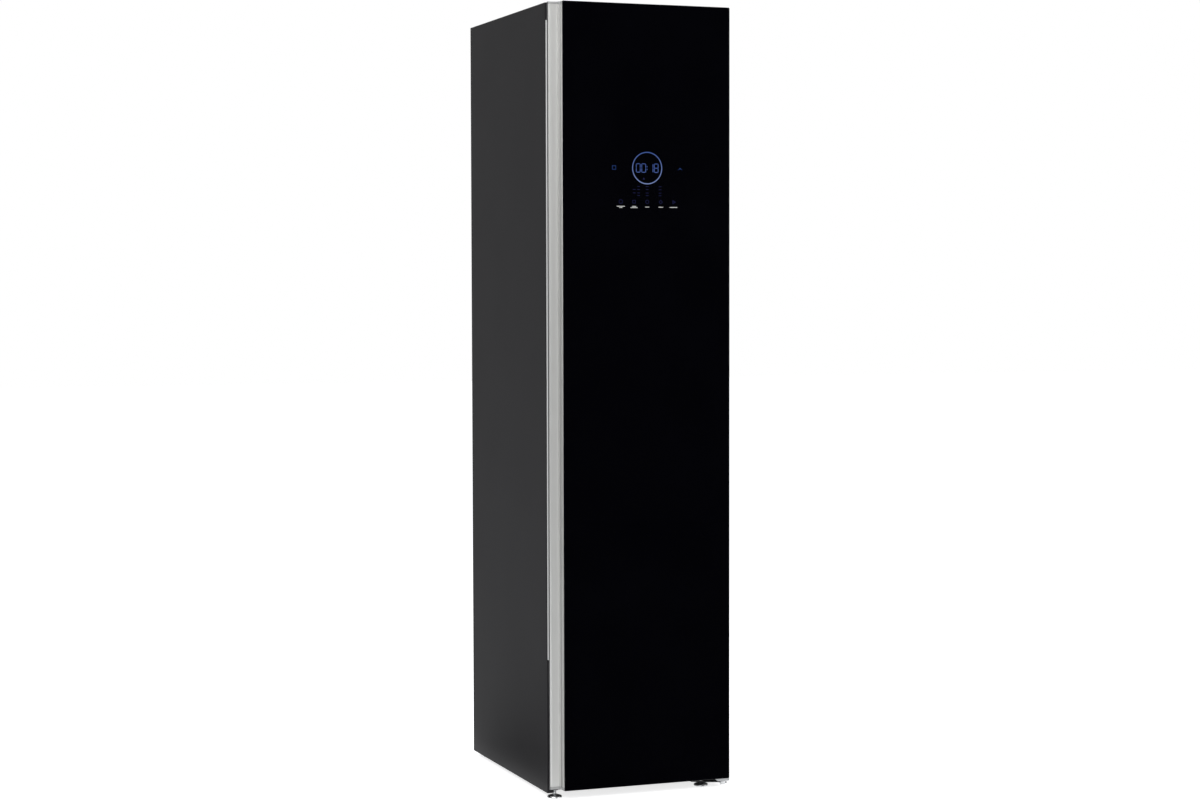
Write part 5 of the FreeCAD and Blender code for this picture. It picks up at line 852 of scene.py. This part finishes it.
# Powder coat is satin, with a fine orange peel.
black_bracket = baked_paint("black_powder_coated_bracket", "#161618", "#1C1C1E", 0.5, 0.8 * MM)
dress(black_bracket, "upper_hinge_bracket")
blank = bpy.data.curves.new("lower_bracket_blank", "CURVE")
blank.dimensions = "2D"
blank.fill_mode = "BOTH"
blank.bevel_depth = BRACKET_EDGE * MM
blank.bevel_resolution = 1
blank.extrude = ((BRACKET_HIGH - BRACKET_LOW) / 2 - BRACKET_EDGE) * MM
blank.offset = -BRACKET_EDGE * MM
turns = [math.tau * i / HOLE_STEPS for i in range(HOLE_STEPS)]
holes = [[(x + radius * math.cos(a), y + radius * math.sin(a)) for a in turns]
         for x, y, radius in BRACKET_HOLES]
for outline in [BRACKET_OUTLINE] + holes:
    spline = blank.splines.new("POLY")
    spline.points.add(len(outline) - 1)
    for point, (x, y) in zip(spline.points, outline):
        point.co = (x * MM, y * MM, 0, 1)
    spline.use_cyclic_u = True
pattern = bpy.data.objects.new("lower_bracket_blank", blank)
bpy.context.scene.collection.objects.link(pattern)
bpy.context.view_layer.update()
shape = bmesh.new()
shape.from_mesh(bpy.data.meshes.new_from_object(
    pattern.evaluated_get(bpy.context.evaluated_depsgraph_get())))
bpy.data.objects.remove(pattern)
bmesh.ops.remove_doubles(shape, verts=shape.verts, dist=0.001 * MM)
bmesh.ops.translate(shape, vec=(0, 0, (BRACKET_LOW + BRACKET_HIGH) / 2 * MM), verts=shape.verts)
bracket = add_piece("blanked_lower_bracket", finish_mesh(shape, "blanked_lower_bracket"),
                    black_bracket)
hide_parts("lower_hinge_bracket")
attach(bracket, "cabinet")
shape = bmesh.new()
lathe(shape, BUSH_PROFILE, PIN_X, PIN_Y, 40)
bush = add_piece("lower_pin_bush", finish_mesh(shape, "lower_pin_bush"), foot_chrome)
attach(bush, "cabinet")
screw_row("lower_bracket_screws", "cabinet", LOWER_SCREWS, (math.pi, 0, 0))
dress(black_frame, "hinge_cover")
dress(foot_chrome, "hinge_pins")
# The shoe's undyed acetal is pale and a little waxy.
shoe_plastic = moulded("light_grey_acetal", "#A9AAAB", "#B5B6B7", 0.4, 0.5 * MM)
dress(shoe_plastic, "hinge_shoe")


# ----------------------------------------------------------------------------------------------
# Door frame: a deep moulded tray in dark grey ABS with a satin grain, its edge left bare beside
# the handle strip; the glass, the strip and the display board are fixed in it from the front.
# ----------------------------------------------------------------------------------------------
door_shell = moulded("dark_grey_moulded_abs", "#434345", "#4A4A4C", 0.42, 0.6 * MM)
dress(door_shell, "door_frame")


# ----------------------------------------------------------------------------------------------
# Door glass: 4 mm toughened float glass, printed black on its back, with ground edges.  The clock
# in its ring and the dim pictograms shine through windows in the print; the key legends are
# printed as plain bars.
# ----------------------------------------------------------------------------------------------
GLASS = (-195.9, 23.0, 222.5, 1850.0)
GLASS_BACK, GLASS_SHOULDER, GLASS_FRONT = -301.0, -304.5, -305.0
CORNER = 2.8
GROUND_EDGE = 0.5
RING_X, RING_Z = 13.0, 1470.4
RING_OUTER, RING_INNER = 37.6, 35.5
DIGIT_WIDTH, DIGIT_HEIGHT, DIGIT_STROKE, DIGIT_GAP = 11.2, 21.0, 1.4, 0.5
DIGITS = ((-22.4, "abcdef"), (-8.7, "abcdef"), (9.6, "bc"), (22.6, "abcdefg"))
COLON_SHIFT, COLON_RISE, COLON_SIDE = -0.4, 3.2, 2.0
KEYS_X = (-53.0, -20.0, 13.0, 47.0, 79.0)
KEY_Z = 1392.0
LEGENDS = ((-53, 1381.1, 20), (-53, 1378.3, 7.5), (-20, 1381.1, 10), (-20, 1378.3, 17.5),
           (13, 1379.9, 10), (47, 1379.9, 11.5), (79, 1379.7, 19.5))
LEGEND_HEIGHT = 1.7
LEVELS = (1427.5, 1420.5, 1412.5, 1406.5)
LEVEL_ROWS = ((-19.6, LEVELS[1:3]), (-8.6, LEVELS), (12.9, LEVELS), (45.3, LEVELS))
LEVEL_WIDTH, LEVEL_HEIGHT = 7.0, 1.2
# Outlines over the keys: corners, outer and inner radius, turn, and shift from the key's middle.
KEY_SIGNS = ((24, 5.0, 3.8, 0, 0), (4, 5.6, 4.0, math.pi / 4, 0), (6, 5.0, 3.7, math.pi / 2, 0),
             (4, 5.2, 3.5, 0, 0), (3, 5.6, 2.6, 0, 0.6))
SQUARE_X, SQUARE_SIDE, SQUARE_HOLE = -69.7, 9.5, 7.1
CHEVRON = ((90.0, -4.0), (96.0, -0.6), (102.0, -4.0), (96.0, 2.0))
POINTER_X, POINTER_Z, POINTER_RADIUS = 4.5, 1445.4, 3.4
# The glass's material slots, in order.
PRINT, RING, DIGIT, DIM, LEGEND, SOFT = range(6)
FLOAT_GLASS = {"Roughness": 0.04, "IOR": 1.52}


def circle(x, z, radius, count, turn=0.0):
    """Corners of a regular outline in the door's plane."""
    return [(x + radius * math.cos(turn + math.tau * i / count),
             z + radius * math.sin(turn + math.tau * i / count)) for i in range(count)]


def bar(x, z, width, height):
    """Corners of an upright bar round its middle."""
    return [(x - width / 2, z - height / 2), (x + width / 2, z - height / 2),
            (x + width / 2, z + height / 2), (x - width / 2, z + height / 2)]


def soft_plate(low_x, low_z, high_x, high_z, radius, inset=0.0, steps=6):
    """Corners of a plate's outline with rounded corners."""
    outline = []
    for x, z, turn in ((high_x - radius, high_z - radius, 0), (low_x + radius, high_z - radius, 1),
                       (low_x + radius, low_z + radius, 2), (high_x - radius, low_z + radius, 3)):
        for i in range(steps + 1):
            angle = (turn + i / steps) * math.pi / 2
            outline.append((x + (radius - inset) * math.cos(angle),
                            z + (radius - inset) * math.sin(angle)))
    return outline


def digit(x, z, lit):
    """Bars of a seven-segment digit."""
    across, rise = (DIGIT_WIDTH - DIGIT_STROKE) / 2, (DIGIT_HEIGHT - DIGIT_STROKE) / 2
    wide = DIGIT_WIDTH - DIGIT_STROKE * 2 - DIGIT_GAP
    tall = DIGIT_HEIGHT / 2 - DIGIT_STROKE - DIGIT_GAP
    places = {"a": (0, rise, wide, DIGIT_STROKE), "d": (0, -rise, wide, DIGIT_STROKE),
              "g": (0, 0, wide, DIGIT_STROKE), "b": (across, rise / 2, DIGIT_STROKE, tall),
              "c": (across, -rise / 2, DIGIT_STROKE, tall),
              "f": (-across, rise / 2, DIGIT_STROKE, tall),
              "e": (-across, -rise / 2, DIGIT_STROKE, tall)}
    return [bar(x + places[name][0], z + places[name][1], *places[name][2:]) for name in lit]


windows = [(RING, circle(RING_X, RING_Z, RING_OUTER, 96), circle(RING_X, RING_Z, RING_INNER, 96))]
for offset, lit in DIGITS:
    windows += [(DIGIT, segment, None) for segment in digit(RING_X + offset, RING_Z, lit)]
windows += [(DIGIT, bar(RING_X + COLON_SHIFT, RING_Z + rise, COLON_SIDE, COLON_SIDE), None)
            for rise in (-COLON_RISE, COLON_RISE)]
windows += [(LEGEND, bar(x, z, width, LEGEND_HEIGHT), None) for x, z, width in LEGENDS]
for x, levels in LEVEL_ROWS:
    windows += [(DIM, bar(x, z, LEVEL_WIDTH, LEVEL_HEIGHT), None) for z in levels]
# Pictograms: a ring, a square, a hexagon, a kite and an arrow head over the keys, a square at the
# left of the clock, a chevron at its right and a small triangle below it.
for x, (count, outer, inner, turn, shift) in zip(KEYS_X, KEY_SIGNS):
    windows.append((DIM, circle(x + shift, KEY_Z, outer, count, turn),
                    circle(x + shift, KEY_Z, inner, count, turn)))
windows += [
    (SOFT, bar(SQUARE_X, RING_Z, SQUARE_SIDE, SQUARE_SIDE),
     bar(SQUARE_X, RING_Z, SQUARE_HOLE, SQUARE_HOLE)),
    (SOFT, [(x, RING_Z + rise) for x, rise in CHEVRON], None),
    (DIM, circle(POINTER_X, POINTER_Z, POINTER_RADIUS, 3, math.pi / 2), None),
]

# Float glass is dead smooth: a sharp, faint mirror with the slightest wave over the black print.
black_glass, tree, place = new_finish("black_back_printed_float_glass")
wave = put(tree, "ShaderNodeTexNoise", {"Vector": place, "Scale": 1 / (120 * MM), "Detail": 1.0})
print_tone = put(tree, "ShaderNodeMix", {0: wave.outputs["Fac"], 6: linear("#020204"),
                                         7: linear("#040407")}, data_type="RGBA")
glass_relief = put(tree, "ShaderNodeBump", {"Height": wave.outputs["Fac"], "Distance": 0.02 * MM})
close_finish(tree, {"Base Color": print_tone.outputs[2], "Normal": glass_relief.outputs["Normal"],
                    **FLOAT_GLASS})


def shining(name, low_code, high_code, middle, half):
    """Light through a window in the print, from one colour below to another above."""
    material, tree, place = new_finish(name)
    axes = put(tree, "ShaderNodeSeparateXYZ", {"Vector": place})
    rise = put(tree, "ShaderNodeMapRange", {"Value": axes.outputs["Z"],
                                            "From Min": (middle - half) * MM,
                                            "From Max": (middle + half) * MM})
    grain = put(tree, "ShaderNodeTexNoise", {"Vector": place, "Scale": 1 / (3 * MM)})
    light = put(tree, "ShaderNodeMix", {0: rise.outputs["Result"], 6: linear(low_code),
                                        7: linear(high_code)}, data_type="RGBA")
    uneven = put(tree, "ShaderNodeMix", {0: 0.08, 6: light.outputs[2], 7: grain.outputs["Color"]},
                 data_type="RGBA", blend_type="OVERLAY")
    close_finish(tree, {"Base Color": linear("#020204"), **FLOAT_GLASS,
                        "Emission Color": uneven.outputs[2], "Emission Strength": 1.0})
    return material


# The clock is a clear blue, the pictograms a dim one: colour at the foot and at the top of a
# window, its middle's height and half its height.
ring_light = shining("blue_ring_light", "#7788B8", "#405896", RING_Z, RING_OUTER)
digit_light = shining("blue_digit_light", "#4F67A9", "#455B9B", RING_Z, 11)
dim_light = shining("dim_blue_light", "#1E1F3E", "#23264A", 1432.5, 47.5)
soft_light = shining("soft_blue_light", "#22386A", "#284074", RING_Z, 5)
# Ceramic ink is fired on, pale and a little matt.
legend_ink = moulded("pale_ceramic_ink", "#B4B4AF", "#BEBEB9", 0.3, 1.0 * MM)

border = soft_plate(*GLASS, CORNER)
face_border = soft_plate(*GLASS, CORNER, GROUND_EDGE)
points, outlines = [], []
for outline in [face_border] + [part for window in windows for part in window[1:] if part]:
    outlines.append(list(range(len(points), len(points) + len(outline))))
    points += [Vector(point) for point in outline]
flat, _, triangles, _, _, sources = delaunay_2d_cdt(points, [], outlines, 1, 1e-4)
inside = {0: (PRINT, None)}
number = 1
for finish, _, hole in windows:
    inside[number] = (finish, number + 1 if hole else None)
    number += 2 if hole else 1
shape = bmesh.new()
skin(shape, [[(x, y, z) for x, z in edge] for edge, y in (
    (border, GLASS_BACK), (border, GLASS_SHOULDER), (face_border, GLASS_FRONT))], cap_end=False)
corners = [shape.verts.new(Vector((x, GLASS_FRONT, z)) * MM) for x, z in flat]
for triangle, source in zip(triangles, sources):
    face = shape.faces.new([corners[i] for i in triangle])
    for number in source:
        finish, hole = inside.get(number, (PRINT, None))
        if finish != PRINT and hole not in source:
            face.material_index = finish
bmesh.ops.remove_doubles(shape, verts=shape.verts, dist=0.01 * MM)
glass = add_piece("printed_door_glass", finish_mesh(shape, "printed_door_glass", 20), black_glass,
                  ring_light, digit_light, dim_light, legend_ink, soft_light)
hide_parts("door_glass")
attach(glass, "door")


# ----------------------------------------------------------------------------------------------
# Handle strip: extruded aluminium, brushed lengthwise and clear anodised.  The upright brush lines
# stretch highlights sideways; the groove under the lip is painted darker, as painted shade of the
# lip.  A cap closes each end.
# ----------------------------------------------------------------------------------------------
BRUSH_WIDTH = 0.35
BRUSH_LENGTH = 60.0
SHADED_GROOVE_X, SHADED_GROOVE_HALF = -199.4, 1.3

brushed, tree, place = new_finish("brushed_anodised_aluminium")
brush_way = put(tree, "ShaderNodeMapping",
                {"Vector": place, "Scale": [1 / (size * MM) for size in (
                    BRUSH_WIDTH, BRUSH_WIDTH, BRUSH_LENGTH)]})
brush = put(tree, "ShaderNodeTexNoise", {"Vector": brush_way.outputs["Vector"], "Scale": 1.0,
                                         "Detail": 3.0})
brush_tone = put(tree, "ShaderNodeMix", {0: brush.outputs["Fac"], 6: linear("#C3C3C1"),
                                         7: linear("#D5D5D3")}, data_type="RGBA")
brush_shine = put(tree, "ShaderNodeMapRange", {"Value": brush.outputs["Fac"],
                                               "To Min": 0.42, "To Max": 0.54})
axes = put(tree, "ShaderNodeSeparateXYZ", {"Vector": place})
# Painted shade: a narrow band at the lip's foot is coloured dark grey to stand in for the lip's
# shadow.
groove_shade = put(tree, "ShaderNodeMath", {0: axes.outputs["X"], 1: SHADED_GROOVE_X * MM,
                                      2: SHADED_GROOVE_HALF * MM}, operation="COMPARE")
strip_tone_and_shade = put(tree, "ShaderNodeMix", {0: groove_shade.outputs[0], 6: brush_tone.outputs[2],
                                         7: linear("#8C8C8B")}, data_type="RGBA")
close_finish(tree, {"Base Color": strip_tone_and_shade.outputs[2], "Metallic": 1.0, "Anisotropic": 0.4,
                    "Roughness": brush_shine.outputs["Result"]})
dress(brushed, "handle_strip")
# Silver paint on the caps has the metal's tone without its grain.
cap_plastic = moulded("silver_painted_abs_cap", "#A4A4A3", "#ADADAC", 0.38, 0.5 * MM)
dress(cap_plastic, "handle_end_caps")


# ----------------------------------------------------------------------------------------------
# Door's inner liner and gasket: the liner is the chamber's polystyrene; the gasket is a soft grey
# PVC extrusion with a bellows waist, welded at its mitred corners and pushed on the liner; its
# outer lip reaches out to the door's edge, so it shows as a pale line from the side.
# ----------------------------------------------------------------------------------------------
GASKET_EDGE = 222.0
GASKET_LOW, GASKET_HIGH = 326.0, 1808.0
# Section of the gasket: inset from its outer edge, and place from the door to the cabinet.
GASKET_SECTION = [(0.7, -273.0), (0.1, -272.5), (0.0, -271.6), (0.2, -270.6), (1.2, -269.9),
                  (1.6, -269.1), (1.2, -268.3), (0.3, -267.7), (0.0, -266.8), (0.0, -263.3),
                  (0.3, -262.3), (1.2, -261.8), (16.3, -261.8), (17.2, -262.3), (17.5, -263.3),
                  (17.5, -266.8), (17.2, -267.7), (16.3, -268.3), (15.9, -269.1), (16.3, -269.9),
                  (17.3, -270.6), (17.5, -271.6), (17.4, -272.5), (16.8, -273.0)]

dress(chamber_skin, "door_inner_liner")
# Soft PVC is pale and dull, and darkens in its folds.
seal = moulded("light_grey_soft_pvc", "#CBCBC9", "#D4D4D2", 0.6, 0.7 * MM)
shape = bmesh.new()
skin(shape, [[(x, y, z) for x, z in bar(0, (GASKET_LOW + GASKET_HIGH) / 2,
                                        (GASKET_EDGE - inset) * 2,
                                        GASKET_HIGH - GASKET_LOW - inset * 2)]
             for inset, y in GASKET_SECTION], closed=True)
gasket = add_piece("bellows_gasket", finish_mesh(shape, "bellows_gasket", 50), seal)
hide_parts("door_gasket")
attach(gasket, "door")
